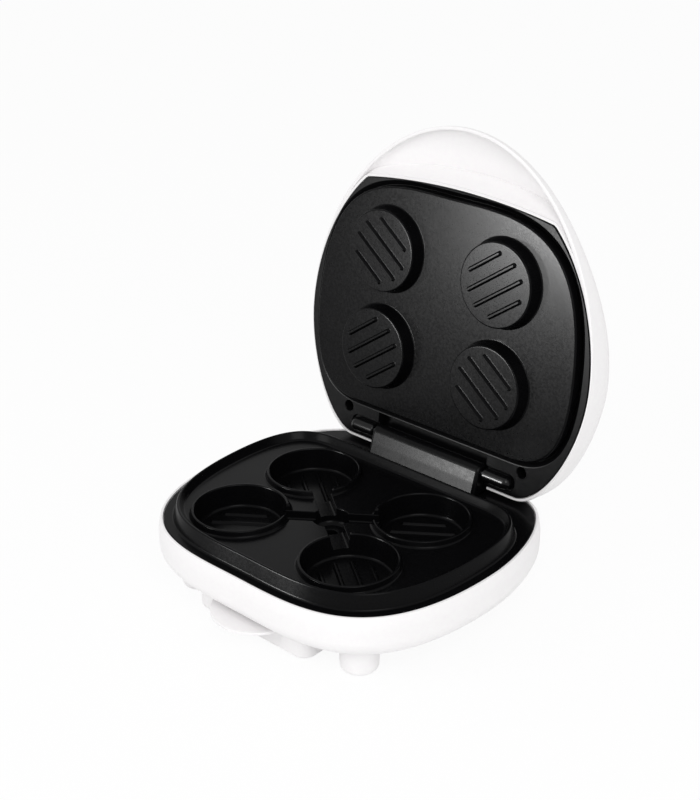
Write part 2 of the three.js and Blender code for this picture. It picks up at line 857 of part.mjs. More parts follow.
// The block between the knuckles: a long rounded bar that leans forward to the plate
function hingeBlock() {
  const rise = hingeZ - blockBaseZ;
  const shape = new THREE.Shape();
  const slope = Math.atan2(blockSlope, rise);
  shape.moveTo(blockFrontY - hingeY, -rise);
  shape.lineTo(blockFrontY - hingeY, -rise * 0.75);
  shape.absarc(0, 0, blockRadius, Math.PI - slope, 0, true);
  shape.lineTo(rearY - seatGap - hingeY, -rise * 0.6);
  shape.lineTo(rearY - seatGap - hingeY, -rise);
  const length = (blockHalf - blockRound) * 2;
  const geometry = new THREE.ExtrudeGeometry(shape, {
    depth: length,
    bevelEnabled: true,
    bevelSize: blockRound,
    bevelOffset: -blockRound,
    bevelThickness: blockRound,
    bevelSegments: 2,
    curveSegments: 4,
  });
  geometry.translate(0, 0, -length / 2);
  geometry.rotateX(Math.PI / 2);
  geometry.rotateZ(Math.PI / 2);
  geometry.translate(0, hingeY, hingeZ);
  const body = solidOf(geometry);
  const sockets = [-1, 1].map((side) => pin(side, pinRadius + pinClearance, overrun));
  const bores = [-1, 1].map((side) => rod(
    screwRadius + boreClearance, blockBaseZ - overrun, blockBaseZ + screwBite * 2, side * blockScrewX, hingeY,
  ));
  return cut(body, ...sockets, ...bores);
}

// A hinge pin from inside the block's end to inside the knuckle's dome
function pin(side, radius, extra) {
  const middle = blockHalf + knuckleGap / 2;
  const geometry = new THREE.CylinderGeometry(radius, radius, pinLength + extra * 2, pinSides);
  geometry.rotateZ(Math.PI / 2);
  geometry.translate(side * middle, hingeY, hingeZ);
  return solidOf(geometry);
}

const blockScrew = (side) => screw(side * blockScrewX, hingeY, floorZ - seatGap, screwUp(blockBaseZ + screwBite * 2));

function dripTray() {
  const topZ = footHeight - seatGap;
  const outer = roundedRectangle(-trayHalf, trayHalf, trayFrontY, trayRearY, trayCorner);
  const inner = roundedRectangle(
    -trayHalf + trayWall, trayHalf - trayWall, trayFrontY + trayWall, trayRearY - trayWall, trayCorner - trayWall,
  );
  const rimZ = topZ - trayRimDrop - trayRimThickness;
  const rimHalf = trayHalf + trayRimWidth;
  const rim = [-1, 1].map((side) => box(
    Math.min(side * rimHalf, side * (trayHalf - trayWall / 2)),
    Math.max(side * rimHalf, side * (trayHalf - trayWall / 2)),
    railFrontY, trayRearY - trayCorner, rimZ, rimZ + trayRimThickness,
  ));
  const lipSet = lipRadius - lipReach - trayWall / 2;
  const lipStart = Math.asin(lipSet / lipRadius);
  const tongue = new THREE.Shape();
  tongue.absarc(0, trayFrontY + lipRadius - lipReach, lipRadius, Math.PI + lipStart, Math.PI * 2 - lipStart);
  const tongueTopZ = topZ - lipDrop;
  const body = cut(
    prism(outer, trayClearance, topZ, cornerSteps),
    prism(inner, trayClearance + trayWall, topZ + overrun, cornerSteps),
  );
  return join(body, ...rim, prism(tongue, tongueTopZ - lipPlate, tongueTopZ, cornerSteps * 3))
    .translate([trayX, 0, 0]);
}

// How far a point of the lid's outline belongs to the nose: 0 behind the start, 1 at the tip
function noseShare(y, startY) {
  return THREE.MathUtils.smoothstep(startY - y, 0, startY - noseY);
}

// A point of the dome, from its outline point and the angle up the superellipse
function domePoint(point, angle, thin) {
  const share = noseShare(point.y, domeStartY);
  const power = domePower - domePowerDrop * share;
  const reach = Math.cos(angle) ** (2 / power);
  const rise = Math.sin(angle) ** (2 / power);
  const height = (lidHeight - thin - noseDrop * share * reach * reach) * rise;
  const rim = noseRimRise * noseShare(point.y, noseStartY) * reach * reach;
  const y = widestY + (point.y - widestY) * reach;
  return new THREE.Vector3(point.x * reach, y, lidRimZ + rim + height);
}

// The lid's dome: each ring is the outline drawn in, raised on a superellipse, lower over the nose
function dome(offset, thin, reachDown, count = domeRings) {
  const outline = ringOf(noseOutline, offset);
  const rings = [];
  if (reachDown > 0) {
    rings.push(outline.map((point) => new THREE.Vector3(point.x, point.y, lidRimZ - reachDown)));
  }
  for (let j = 0; j <= count; j += 1) {
    const angle = (Math.PI / 2) * (j / (count + 1));
    rings.push(outline.map((point) => domePoint(point, angle, thin)));
  }
  return loft(rings);
}

const lidRimZ = frameZ + lipRound;
function skirt(offset, lowZ) {
  return lofted([
    [plateOutline, offset, lowZ],
    [plateOutline, offset, lidRimZ + lipThickness],
    [plateOutline, offset + skirtSpread, lidRimZ + skirtDepth],
    [plateOutline, offset + skirtSpread, lidRimZ + lidHeight],
  ]);
}

// The skirt stands inside the nose, so the nose is hollow from below and fingers reach in
function lidShell() {
  const skirtRing = cut(skirt(skirtReach, lidRimZ), skirt(skirtReach - wall, lidRimZ - overrun));
  let shell = cut(dome(0, 0, 0), dome(-wall, wall, overrun * 2, domeRingsInside));
  shell = join(shell, skirtRing.intersect(dome(0, 0, overrun * 2)));
  shell = cut(shell, frameSeat());
  shell = join(shell, ...[-1, 1].map((side) => earPost(side).intersect(dome(0, 0, 0))));
  shell = cut(shell, ...[-1, 1].map(earPostBore), blockNotch(notchMargin * 2), ...lampPlaces.map(lampHole));
  return shell;
}

function frameSeat() {
  return lofted([
    [plateOutline, seatGap, lidRimZ - overrun * 4],
    [plateOutline, seatGap, frameTopZ + seatGap],
  ]);
}

function earPost(side) {
  return rod(postRadius, frameTopZ + earCupDepth + seatGap, lidRimZ + lidHeight, side * earScrewX, earScrewY);
}

function earPostBore(side) {
  const low = frameTopZ + earCupDepth;
  return rod(screwRadius + boreClearance, low - overrun, low + screwBite * 2, side * earScrewX, earScrewY);
}

// A black hood that closes the frame's notch over the block's crown, open below and behind
function hood() {
  const half = blockHalf + notchMargin;
  const topZ = hingeZ + hoodRise;
  const rear = hingeY + hoodRearStep;
  const outside = box(-half - hoodWall, half + hoodWall, notchFrontY - hoodWall, rear, frameZ + hoodWall, topZ + hoodWall);
  return cut(outside, box(-half, half, notchFrontY, rear + overrun, frameZ - overrun, topZ));
}

// Room in the lid's rear edge for the hinge block as the lid turns
function blockNotch(margin) {
  const half = blockHalf + margin;
  return box(-half, half, notchFrontY, rearY + wall * 4, lidRimZ - overrun * 4, hingeZ + notchRise);
}

function lidFrame() {
  const opening = lofted([
    [ridgeOutline, seatGap * 2, frameZ - overrun],
    [ridgeOutline, seatGap * 2, frameTopZ + overrun],
  ]);
  const plate = lofted([
    [plateOutline, -seatGap - ridgeRound, frameZ],
    [plateOutline, -seatGap, frameZ + ridgeRound],
    [plateOutline, -seatGap, frameTopZ],
  ]);
  let frame = join(cut(plate, opening, blockNotch(notchMargin)), hood());
  frame = join(frame, ...[-1, 1].map((side) => rod(
    earHoleRadius + lipThickness, frameTopZ - overrun, frameTopZ + earCupDepth, side * earScrewX, earScrewY, footSides,
  )));
  frame = cut(frame, ...[-1, 1].flatMap(earBore), ...[-1, 1].map(knucklePocket));
  frame = join(frame, ...[-1, 1].map(knuckle));
  return cut(frame, ...[-1, 1].map((side) => pin(side, pinRadius + pinClearance, overrun)));
}

function earBore(side) {
  const x = side * earScrewX;
  return [
    rod(earHoleRadius, frameZ - overrun, frameTopZ + earCupDepth - lipThickness, x, earScrewY, footSides),
    rod(screwRadius + boreClearance, frameZ, frameTopZ + earCupDepth + overrun, x, earScrewY),
  ];
}

const knuckleInner = blockHalf + knuckleGap;
function knucklePocket(side) {
  const reach = knuckleInner + knuckleLength + pocketMargin;
  const half = knuckleRadius + pocketMargin;
  const shape = roundedRectangle(knuckleInner - half * 2, reach, hingeY - half, hingeY + half, half - lipRound);
  const pocket = prism(shape, frameZ - overrun * 2, frameZ + pocketDepth, ribSteps);
  return side < 0 ? pocket.mirror([1, 0, 0]) : pocket;
}

// A barrel with a domed outer end, whose bore takes the pin
function knuckle(side) {
  const straight = knuckleLength - knuckleRadius;
  const arc = quarter(0, straight, knuckleRadius, 0, 4);
  const profile = [[0, 0], [knuckleRadius, 0], ...arc.slice(0, -1), [0, knuckleLength]]
    .map(([radius, along]) => new THREE.Vector2(radius, along));
  const geometry = new THREE.LatheGeometry(profile, pinSides);
  geometry.rotateZ(-side * Math.PI / 2);
  geometry.translate(side * knuckleInner, hingeY, hingeZ);
  const saddle = box(
    Math.min(side * knuckleInner, side * (knuckleInner + straight)),
    Math.max(side * knuckleInner, side * (knuckleInner + straight)),
    hingeY - knuckleRadius, hingeY + knuckleRadius, hingeZ, frameTopZ,
  );
  return solidOf(geometry).add(saddle);
}

function upperPlate() {
  const pan = lofted([
    [ridgeOutline, -ridgeRound * 2, plateauZ],
    [ridgeOutline, -ridgeRound / 2, plateauZ + ridgeRound / 2],
    [ridgeOutline, 0, plateauZ + ridgeRound * 1.5],
    [ridgeOutline, 0, frameTopZ + seatGap],
    [ridgeOutline, plateauFlange, frameTopZ + seatGap],
    [ridgeOutline, plateauFlange, plateTopZ],
    [ridgeOutline, -plateThickness, plateTopZ],
    [ridgeOutline, -plateThickness - ridgeRound, plateauBackZ],
  ]);
  const hollows = wellPlaces.map(({ x, y }) => rod(
    discHollowRadius, discZ + plateThickness, plateauBackZ + overrun, x, y, wellSides,
  ));
  const posts = [-1, 1].map((side) => rod(
    postRadius, plateauBackZ - overrun, upperClampZ - seatGap, side * clampScrewX, 0,
  ));
  const bores = [-1, 1].map((side) => rod(
    screwRadius + boreClearance, plateauBackZ, upperClampZ + overrun, side * clampScrewX, 0,
  ));
  const discs = wellPlaces.flatMap((place) => [disc(place), ...ribs(place, discZ - ribHeight, discZ + overrun)]);
  return cut(join(pan, ...discs, ...posts), ...hollows, ...bores);
}

function disc(place) {
  return turned([
    [0, discZ],
    [discRadius - discRound, discZ],
    [discRadius, discZ + discRound],
    [discRadius + discDraft, plateauZ],
    [discRadius + discDraft, plateauZ + plateThickness / 2],
    [0, plateauZ + plateThickness / 2],
  ], place.x, place.y, wellSides);
}

const upperClampZ = upperTubeZ + tubeRadius + seatGap;
const lowerClampScrew = (side) => screw(
  side * clampScrewX, 0, clampTopZ - clampThickness - screwHead - seatGap, clampTopZ + screwBite * 2 - overrun,
);

// The upper clamp's screws point down into the plate's posts
function upperClampScrew(side) {
  const headZ = upperClampZ + clampThickness + seatGap + screwHead;
  const tipZ = plateauBackZ + overrun / 2;
  return screw(side * clampScrewX, 0, -headZ, -tipZ).mirror([0, 0, 1]);
}

const earCupZ = frameTopZ + earCupDepth - lipThickness;
const lidScrew = (side) => screw(
  side * earScrewX, earScrewY, earCupZ - seatGap - screwHead, earCupZ + lipThickness + screwBite * 2 - overrun,
);

// Height of the dome's outside on the middle line, found by halving the angle's range
function domeHeight(y) {
  const tip = new THREE.Vector2(0, noseY);
  let low = 0;
  let high = Math.PI / 2;
  for (let i = 0; i < 30; i += 1) {
    const middle = (low + high) / 2;
    if (domePoint(tip, middle, 0).y < y) low = middle;
    else high = middle;
  }
  return domePoint(tip, low, 0).z;
}

const lampPlaces = [-lampX, lampX];
const lampHole = (x) => rod(
  lampRadius + seatGap, plateTopZ, lidRimZ + lidHeight + overrun, x, lampY, footSides,
);

// A lens: a domed button that stands out of the lid, on a flange that seats inside it
function lampLens(x) {
  const top = domeHeight(lampY);
  const seat = top - wall - lampStand * 2 - seatGap;
  return turned([
    [0, seat - lampFlange],
    [lampRadius + lampFlange, seat - lampFlange],
    [lampRadius + lampFlange, seat],
    [lampRadius, seat],
    [lampRadius, top],
    [lampRadius * 0.8, top + lampStand * 0.7],
    [lampRadius * 0.4, top + lampStand],
    [0, top + lampStand],
  ], x, lampY, footSides);
}

// The scene graph: the base and tray as they stand, the lid in a group turned about its pins
const group = new THREE.Group();
const lid = new THREE.Group();
lid.position.set(0, hingeY, hingeZ);
lid.rotation.x = -openAngle;
const closedFrame = new THREE.Group();
closedFrame.position.set(0, -hingeY, -hingeZ);
lid.add(closedFrame);
group.add(lid);

function add(name, solid, finish, parent = group) {
  const mesh = new THREE.Mesh(geometryOf(solid), finish);
  mesh.name = name;
  parent.add(mesh);
}

add('lower_housing', lowerHousing(), whitePlastic());
footPlaces.forEach(([place, x, y]) => add(`foot_pad_${place}`, footPad(x, y), rubber()));
add('lower_cooking_plate', lowerPlate(), blackCoating());
add('lower_heating_element', heatingElement(lowerTubeZ), steel());
add('lower_element_clamp', elementClamp(clampTopZ - clampThickness), sheetMetal());
add('lower_heat_shield', lowerShield(), sheetMetal());
add('lower_thermostat', thermostat(deckUnderZ, -1, thermostatY), ceramic());
add('thermal_fuse', thermalFuse(), ceramic());
add('terminal_block', terminalBlock(), ceramic());
add('lead_live', innerLead(-1), copperLead());
add('lead_neutral', innerLead(1), copperLead());
add('cord_inlet', cordInlet(), blackPlastic());
add('hinge_block', hingeBlock(), blackPlastic());
postPlaces.forEach(([place, x, y]) => add(`plate_screw_${place}`, plateScrew(x, y), steel()));
add('drip_tray', dripTray(), whitePlastic());
add('lid_shell', lidShell(), whitePlastic(), closedFrame);
add('lid_frame', lidFrame(), blackPlastic(), closedFrame);
add('upper_cooking_plate', upperPlate(), blackCoating(), closedFrame);
add('upper_heating_element', heatingElement(upperTubeZ), steel(), closedFrame);
add('upper_element_clamp', elementClamp(upperClampZ), sheetMetal(), closedFrame);
add('upper_heat_shield', upperShield(), sheetMetal(), closedFrame);
add('upper_thermostat', thermostat(plateauBackZ, 1, upperThermostatY), ceramic(), closedFrame);
add('power_lamp', lampLens(lampPlaces[0]), redLens(), closedFrame);
add('ready_lamp', lampLens(lampPlaces[1]), greenLens(), closedFrame);
for (const [word, side] of [['left', -1], ['right', 1]]) {
  add(`hinge_pin_${word}`, pin(side, pinRadius, 0), steel());
  add(`hinge_block_screw_${word}`, blockScrew(side), steel());
  add(`lower_clamp_screw_${word}`, lowerClampScrew(side), steel());
  add(`upper_clamp_screw_${word}`, upperClampScrew(side), steel(), closedFrame);
  add(`lid_screw_${word}`, lidScrew(side), steel(), closedFrame);
}

// The origin moves to the table under the middle of the open grill's bounding box
const extent = new THREE.Box3().setFromObject(group, true);
group.position.y = -(extent.min.y + extent.max.y) / 2;

export default group;
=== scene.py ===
# %% [markdown]
# # A countertop hamburger grill, dressed over its CAD frame
# The grill is a white moulded base and lid, hinged at the rear, that hold two black non-stick castings.
# The CAD frame gives every place and joint. Its solids are faceted, so each visible piece is built again
# here as a smooth surface from the same measures, and rides on the same body.

# %% Load the frame
import math

import bpy
import numpy as np
from mathutils import Matrix, Vector


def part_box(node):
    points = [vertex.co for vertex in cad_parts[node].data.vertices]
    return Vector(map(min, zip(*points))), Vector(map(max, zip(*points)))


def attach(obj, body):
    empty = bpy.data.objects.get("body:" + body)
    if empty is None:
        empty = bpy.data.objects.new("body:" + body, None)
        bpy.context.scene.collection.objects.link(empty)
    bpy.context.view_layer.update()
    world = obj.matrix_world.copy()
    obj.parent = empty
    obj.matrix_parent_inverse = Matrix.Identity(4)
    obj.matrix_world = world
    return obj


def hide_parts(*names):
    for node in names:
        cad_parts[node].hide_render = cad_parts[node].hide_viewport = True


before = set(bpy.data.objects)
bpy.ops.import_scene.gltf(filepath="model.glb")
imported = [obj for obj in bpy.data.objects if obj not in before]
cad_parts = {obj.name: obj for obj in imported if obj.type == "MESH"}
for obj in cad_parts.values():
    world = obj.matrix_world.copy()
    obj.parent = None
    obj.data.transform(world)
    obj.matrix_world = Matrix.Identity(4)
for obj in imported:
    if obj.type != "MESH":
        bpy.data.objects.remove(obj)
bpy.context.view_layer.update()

# %% [markdown]
# ## The measures
# Nearly all are the CAD source's own, in millimetres, with the origin between the four wells. The frame's
# outline, the knuckles and the ribs are traced more finely and differ a little. A surface worked out from
# numbers needs no fitting. Reading points off the imported mesh would copy its facets.

# %% Plan curves and heights
half_width = 109.1
widest_y = 20
front_y = -80.3
rear_y = 101
rear_flat = half_width * 0.6214
front_pull = half_width * 0.4317
rear_corner_pull = half_width * 0.2291
front_side_pull = 107.5
rear_side_pull = 34
flange_width = 6
ridge_rear_y = rear_y - 25.5
ridge_rear_flat = half_width * 0.5866
ridge_rear_pull = half_width * 0.2383
ridge_side_pull = 40
nose_y = -117
nose_pull = half_width * 0.549
nose_side_pull = 75
wall = 2.4
wall_bulge = 3.28
lip = 2
gap = 0.3

foot_height = 19
flange_z = 47
ridge_z = 56.5
deck_z = 51.5
deck_under_z = 48.5
ring_z = 55.5
well_floor_z = 40.5
plateau_z = 57.1
disc_z = 47.5
frame_z = 61
frame_top_z = 64
plate_top_z = 66.3
lid_rim_z = 61.5
hinge_y = 92.6
hinge_z = 60
open_angle = math.radians(97.8)
print("Deck at", deck_z, "mm, rings at", ring_z, "mm and hinge at", hinge_z, "mm above the table")

# %% [markdown]
# ## The camera
# It stands where the photograph was taken: in front, to the right and above. Its place, aim and small roll
# come from fitting the CAD's rings, discs and edges to the picture, so the outlines fall on each other.
# A longer lens from further off would flatten the plates, so the fitted focal length is kept too.

# %% The part's shift and the camera
foot_front_y = front_y + 31.5
pad_low, pad_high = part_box("foot_pad_front_left")
shift_y = (pad_low.y + pad_high.y) * 500 - foot_front_y
to_row = Matrix.Scale(0.001, 4) @ Matrix.Translation((0, shift_y, 0))

camera_place = Vector((563.72, -584.09, 522.79))
camera_aim = Vector((-8.32, 27.45, 118.22))
camera_roll = math.radians(-0.819)
camera = bpy.data.objects.new("camera", bpy.data.cameras.new("camera"))
bpy.context.scene.collection.objects.link(camera)
camera.data.sensor_width = 36
camera.data.lens = 69.08
camera.data.clip_end = 20
level = (camera_aim - camera_place).to_track_quat("-Z", "Y").to_matrix().to_4x4()
camera.matrix_world = (
    Matrix.Translation(to_row @ camera_place) @ level @ Matrix.Rotation(camera_roll, 4, "Z")
)
bpy.context.scene.camera = camera
print("The part stands", round(shift_y, 2), "mm along Y from the origin of its measures")

# %% [markdown]
# ## Plan curves
# Housings and plates follow one plan: a straight rear edge and four Bezier curves that bow the sides and
# draw the front to a soft point. A spline through many points would do, but four curves stay fair by
# themselves. The half curve is spaced evenly by length and mirrored, so left and right match.

# %% Curve helpers
around = 320


def bezier(p0, p1, p2, p3, steps=300):
    """Cubic Bezier: (1-t)^3 p0 + 3(1-t)^2 t p1 + 3(1-t) t^2 p2 + t^3 p3, with t from 0 to 1."""
    t = np.linspace(0, 1, steps)[:, None]
    p0, p1, p2, p3 = (np.array(p, float) for p in (p0, p1, p2, p3))
    return (1 - t) ** 3 * p0 + 3 * (1 - t) ** 2 * t * p1 + 3 * (1 - t) * t**2 * p2 + t**3 * p3


def respaced(points, count):
    """The same line through count points at equal steps of its length."""
    steps = np.linalg.norm(np.diff(points, axis=0), axis=1)
    length = np.concatenate([[0], np.cumsum(steps)])
    wanted = np.linspace(0, length[-1], count)
    return np.stack([np.interp(wanted, length, points[:, k]) for k in range(points.shape[1])], axis=1)


def mirrored(*left_curves):
    """Closed plan, anticlockwise from the middle of the rear edge: the left half and its mirror image."""
    whole = np.concatenate([left_curves[0]] + [curve[1:] for curve in left_curves[1:]])
    left = respaced(whole, around // 2 + 1)
    return np.concatenate([left, left[-2:0:-1] * [-1, 1]])


def plan(half, front, rear, flat, pull, side_pull, rear_side, rear_corner):
    """A plate's or housing's plan: straight rear edge, rounded rear corners, and sides drawn to the front."""
    side = (-half, widest_y)
    rear_line = np.array([[0, rear], [-flat, rear]], float)
    rear_curve = bezier((-flat, rear), (-flat - rear_corner, rear), (-half, widest_y + rear_side), side)
    front_curve = bezier(side, (-half, widest_y - side_pull), (-pull, front), (0, front))
    return mirrored(rear_line, rear_curve, front_curve)


# %% [markdown]
# ### The four plans
# The lower plate and the housing share one plan. The ridge has a smaller one, and the lid a longer one that
# runs out to its nose. The black frame's bows further out and ends in a tighter front corner. One curve moved
# in or out could not give all four, because their corners differ.

# %% Plans of plate, ridge, nose and frame
plate_plan = plan(
    half_width, front_y, rear_y, rear_flat, front_pull, front_side_pull, rear_side_pull, rear_corner_pull
)
ridge_plan = plan(
    half_width - flange_width,
    front_y + flange_width,
    ridge_rear_y,
    ridge_rear_flat,
    front_pull,
    front_side_pull - flange_width,
    ridge_side_pull,
    ridge_rear_pull,
)
nose_plan = plan(
    half_width + wall_bulge,
    nose_y,
    rear_y + lip,
    rear_flat,
    nose_pull,
    nose_side_pull,
    rear_side_pull,
    rear_corner_pull,
)
frame_half = 111.5
frame_side = (-frame_half, widest_y)
frame_corner = (-73.3, -73.2)
frame_front_y = -79.2
frame_plan = mirrored(
    np.array([[0, rear_y], [-rear_flat, rear_y]], float),
    bezier((-rear_flat, rear_y), (-87.8, rear_y), (-frame_half, 58), frame_side),
    bezier(frame_side, (-frame_half, -21), (-92.6, -55.8), frame_corner),
    bezier(frame_corner, (-56, -76.4), (-28, frame_front_y), (0, frame_front_y)),
)
spacing = np.linalg.norm(np.diff(plate_plan, axis=0), axis=1).mean()
print("Plan curves have", around, "points each, about", round(float(spacing), 1), "mm apart")

# %% [markdown]
# ## Rings, fillets and skins
# A moulded or cast piece is a profile carried round its plan. Here a profile is a short stack of rings,
# one for each corner of the section, and each corner is then softened to a fillet. Quads join the rings
# to one closed skin. A Bevel modifier would find the edges by itself, but cannot tell which were moulded
# round and which sharp.

# %% Ring helpers
most_of_side = 0.49  # A fillet reaches no further along a side than this share of it


def moved_out(curve, offset):
    """A closed plane curve moved along its outward normals, a quarter turn from its tangents, by offset."""
    along = np.roll(curve, -1, axis=0) - np.roll(curve, 1, axis=0)
    along = along / np.linalg.norm(along, axis=1, keepdims=True)
    return curve + offset * np.column_stack([along[:, 1], -along[:, 0]])


def ring(curve, offset, height):
    """The plan curve moved out by offset, laid at one height."""
    return np.column_stack([moved_out(curve, offset), np.full(len(curve), float(height))])


def circle(radius, height, x=0, y=0, count=96):
    """Points x + r cos a, y + r sin a at one height, with a evenly round the full turn."""
    angle = np.linspace(0, 2 * np.pi, count, endpoint=False)
    flat = np.column_stack([x + radius * np.cos(angle), y + radius * np.sin(angle)])
    return np.column_stack([flat, np.full(count, float(height))])


def softened(rings, rounds, closed=False, steps=5):
    """Each ring with a round becomes a fillet: a quadratic Bezier from round mm before it to as far after."""
    count = len(rings)
    out = []
    for i, here in enumerate(rings):
        size = rounds.get(i, 0)
        if size == 0 or (not closed and i in (0, count - 1)):
            out.append(here)
            continue
        ends = []
        for other in (rings[i - 1], rings[(i + 1) % count]):
            way = other - here
            length = np.linalg.norm(way, axis=1, keepdims=True)
            ends.append(here + way * np.minimum(size / np.maximum(length, 1e-9), most_of_side))
        for t in np.linspace(0, 1, steps + 1):
            out.append((1 - t) ** 2 * ends[0] + 2 * t * (1 - t) * here + t**2 * ends[1])
    return out


# %% [markdown]
# ### Closed skins
# Blender takes the outside of a face from the order of its corners. A skin adds up its own volume, and when
# the sum comes out negative it turns every face round. Recalculating the normals afterwards would do as well,
# but the sum runs over whole arrays and needs no editing of the mesh.


# %% Skin helpers
def enclosed(a, b, c):
    """Six times the volume between the origin and triangles a, b, c: the sum of a . (b x c)."""
    return np.sum(a * np.cross(b, c))


def skin(rings, closed=False):
    """Vertices and faces of a closed body: quads between neighbouring rings, a flat face at each open end."""
    rings = np.asarray(rings)
    rows, count, _ = rings.shape
    points = rings.reshape(-1, 3)
    low = np.arange(rows if closed else rows - 1)[:, None] * count
    high = (low + count) % (rows * count)
    here = np.arange(count)[None, :]
    after = (here + 1) % count
    quads = np.stack([low + here, low + after, high + after, high + here], axis=-1).reshape(-1, 4)
    ends = [] if closed else [np.arange(count)[::-1], np.arange(count) + (rows - 1) * count]
    middle = points.mean(axis=0)
    a, b, c, d = (points[quads] - middle).transpose(1, 0, 2)
    volume = enclosed(a, b, c) + enclosed(a, c, d)
    for end in ends:
        fan = points[end] - middle
        volume += enclosed(fan[0], fan[1:-1], fan[2:])
    if volume < 0:
        quads = quads[:, ::-1]
        ends = [end[::-1] for end in ends]
    return points, quads.tolist() + [end.tolist() for end in ends]


def turned(profile, rounds=None, x=0, y=0, count=96):
    """A lathed body about a vertical axis, from (radius, height) corners, softened where rounds says."""
    return skin(softened([circle(radius, height, x, y, count) for radius, height in profile], rounds or {}))


def box(low_x, high_x, low_y, high_y, low_z, high_z):
    """A plain block."""
    corners = np.array([[low_x, low_y], [high_x, low_y], [high_x, high_y], [low_x, high_y]], float)
    return skin([np.column_stack([corners, np.full(4, z)]) for z in (low_z, high_z)])


# %% [markdown]
# ## From skins to objects
# Skins that only touch or sink into each other are kept in one mesh. Where a real piece has a hole or a
# channel, a boolean takes it out, because that is how the edge of a hole comes out crisp. All this is in
# millimetres, and the last step moves the mesh to its place, so every object stays at the origin.

# %% Object helpers
sharp_from = math.radians(32)


def solid(name, *skins):
    """One mesh object from several closed skins, in millimetres."""
    points = np.concatenate([points for points, _ in skins])
    starts = np.cumsum([0] + [len(points) for points, _ in skins[:-1]])
    faces = [[corner + start for corner in face] for (_, rows), start in zip(skins, starts) for face in rows]
    mesh = bpy.data.meshes.new(name)
    mesh.from_pydata(points.tolist(), [], faces)
    thing = bpy.data.objects.new(name, mesh)
    bpy.context.scene.collection.objects.link(thing)
    return thing


def combine(thing, operation, tool):
    """Joins the tool to the thing, cuts it out, or keeps what both share, and then removes the tool."""
    change = thing.modifiers.new("combine", "BOOLEAN")
    change.operation = operation
    change.solver = "EXACT"
    change.object = tool
    result = bpy.data.meshes.new_from_object(thing.evaluated_get(bpy.context.evaluated_depsgraph_get()))
    thing.modifiers.clear()
    thing.data = result
    bpy.data.objects.remove(tool)


def carve(thing, operation, *skins):
    """Combines the thing with skins as the tool. They must not overlap each other."""
    combine(thing, operation, solid("tool", *skins))


def place(thing, material, body, slot, *nodes):
    """Moves the mesh to its place in the open grill, smooths it, and says what it rides on and stands for."""
    turn = Matrix.Identity(4)
    if body == "lid":
        hinge = Matrix.Translation((0, hinge_y, hinge_z))
        turn = hinge @ Matrix.Rotation(-open_angle, 4, "X") @ hinge.inverted()
    thing.data.transform(to_row @ turn)
    thing.data.polygons.foreach_set("use_smooth", np.ones(len(thing.data.polygons), bool))
    thing.data.set_sharp_from_angle(angle=sharp_from)
    weighted = thing.modifiers.new("even shading", "WEIGHTED_NORMAL")
    weighted.keep_sharp = True
    thing.data.materials.clear()
    thing.data.materials.append(material)
    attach(thing, body)
    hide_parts(*nodes)


# %% [markdown]
# ## Materials
# Each finish starts from the real material and how its surface was made. Colours are written as sRGB hex
# and turned to linear light by one function. Patterns read Object coordinates, in metres, so a scale of
# 1 / 0.001 gives marks about one millimetre wide.


# %% Material helpers
def linear(hex_colour):
    """sRGB hex to linear: c / 12.92 below 0.04045, else ((c + 0.055) / 1.055) ^ 2.4."""
    rgb = np.array([int(hex_colour[i : i + 2], 16) for i in (1, 3, 5)]) / 255
    out = np.where(rgb <= 0.04045, rgb / 12.92, ((rgb + 0.055) / 1.055) ** 2.4)
    return (*out.tolist(), 1.0)


def add(tree, kind, inputs=None, **settings):
    """Adds one node. A setting names a property. An input takes a value, or another node's output."""
    made = tree.nodes.new(kind)
    for name, value in settings.items():
        setattr(made, name, value)
    for name, value in (inputs or {}).items():
        if isinstance(value, bpy.types.NodeSocket):
            tree.links.new(value, made.inputs[name])
        else:
            made.inputs[name].default_value = value
    return made


def grain(tree, size_mm):
    """Noise in Object coordinates whose marks are size_mm wide, as a value round one half."""
    where = add(tree, "ShaderNodeTexCoord").outputs["Object"]
    noise = add(tree, "ShaderNodeTexNoise", {"Vector": where, "Scale": 1000 / size_mm, "Detail": 2.0})
    return noise.outputs["Fac"]


def spread(tree, value, low, high, narrow=0.35, wide=0.65):
    """A noise value stretched from narrow..wide to low..high."""
    inputs = {"Value": value, "From Min": narrow, "From Max": wide, "To Min": low, "To Max": high}
    return add(tree, "ShaderNodeMapRange", inputs).outputs["Result"]


def blend(tree, value, first, second):
    """Two sRGB hex colours mixed by a value."""
    mix = add(tree, "ShaderNodeMix", {"Factor": value}, data_type="RGBA")
    mix.inputs["A"].default_value = linear(first)
    mix.inputs["B"].default_value = linear(second)
    return mix.outputs["Result"]


# %% [markdown]
# ### One build for every finish
# No real surface has one flat colour or gloss. Each finish here mixes two close shades, moves its roughness
# within a range and has a low bump, and each of the three follows its own noise. Image textures would carry
# more detail, but noise has no seams and needs no unwrapping.


# %% The finish function
def finish(name, shades, shade_mm, rough, rough_mm, bump_mm, bump_height_mm, **constants):
    """A Principled surface: two close shades, a roughness range and a bump, each with its own grain in mm."""
    material = bpy.data.materials.new(name)
    material.use_nodes = True
    tree = material.node_tree
    shader = tree.nodes["Principled BSDF"]
    colour = blend(tree, spread(tree, grain(tree, shade_mm), 0, 1), *shades)
    roughness = spread(tree, grain(tree, rough_mm), *rough)
    bump = add(tree, "ShaderNodeBump", {"Height": grain(tree, bump_mm), "Distance": bump_height_mm / 1000})
    tree.links.new(colour, shader.inputs["Base Color"])
    tree.links.new(roughness, shader.inputs["Roughness"])
    tree.links.new(bump.outputs["Normal"], shader.inputs["Normal"])
    for socket, value in constants.items():
        shader.inputs[socket.replace("_", " ")].default_value = value
    return material


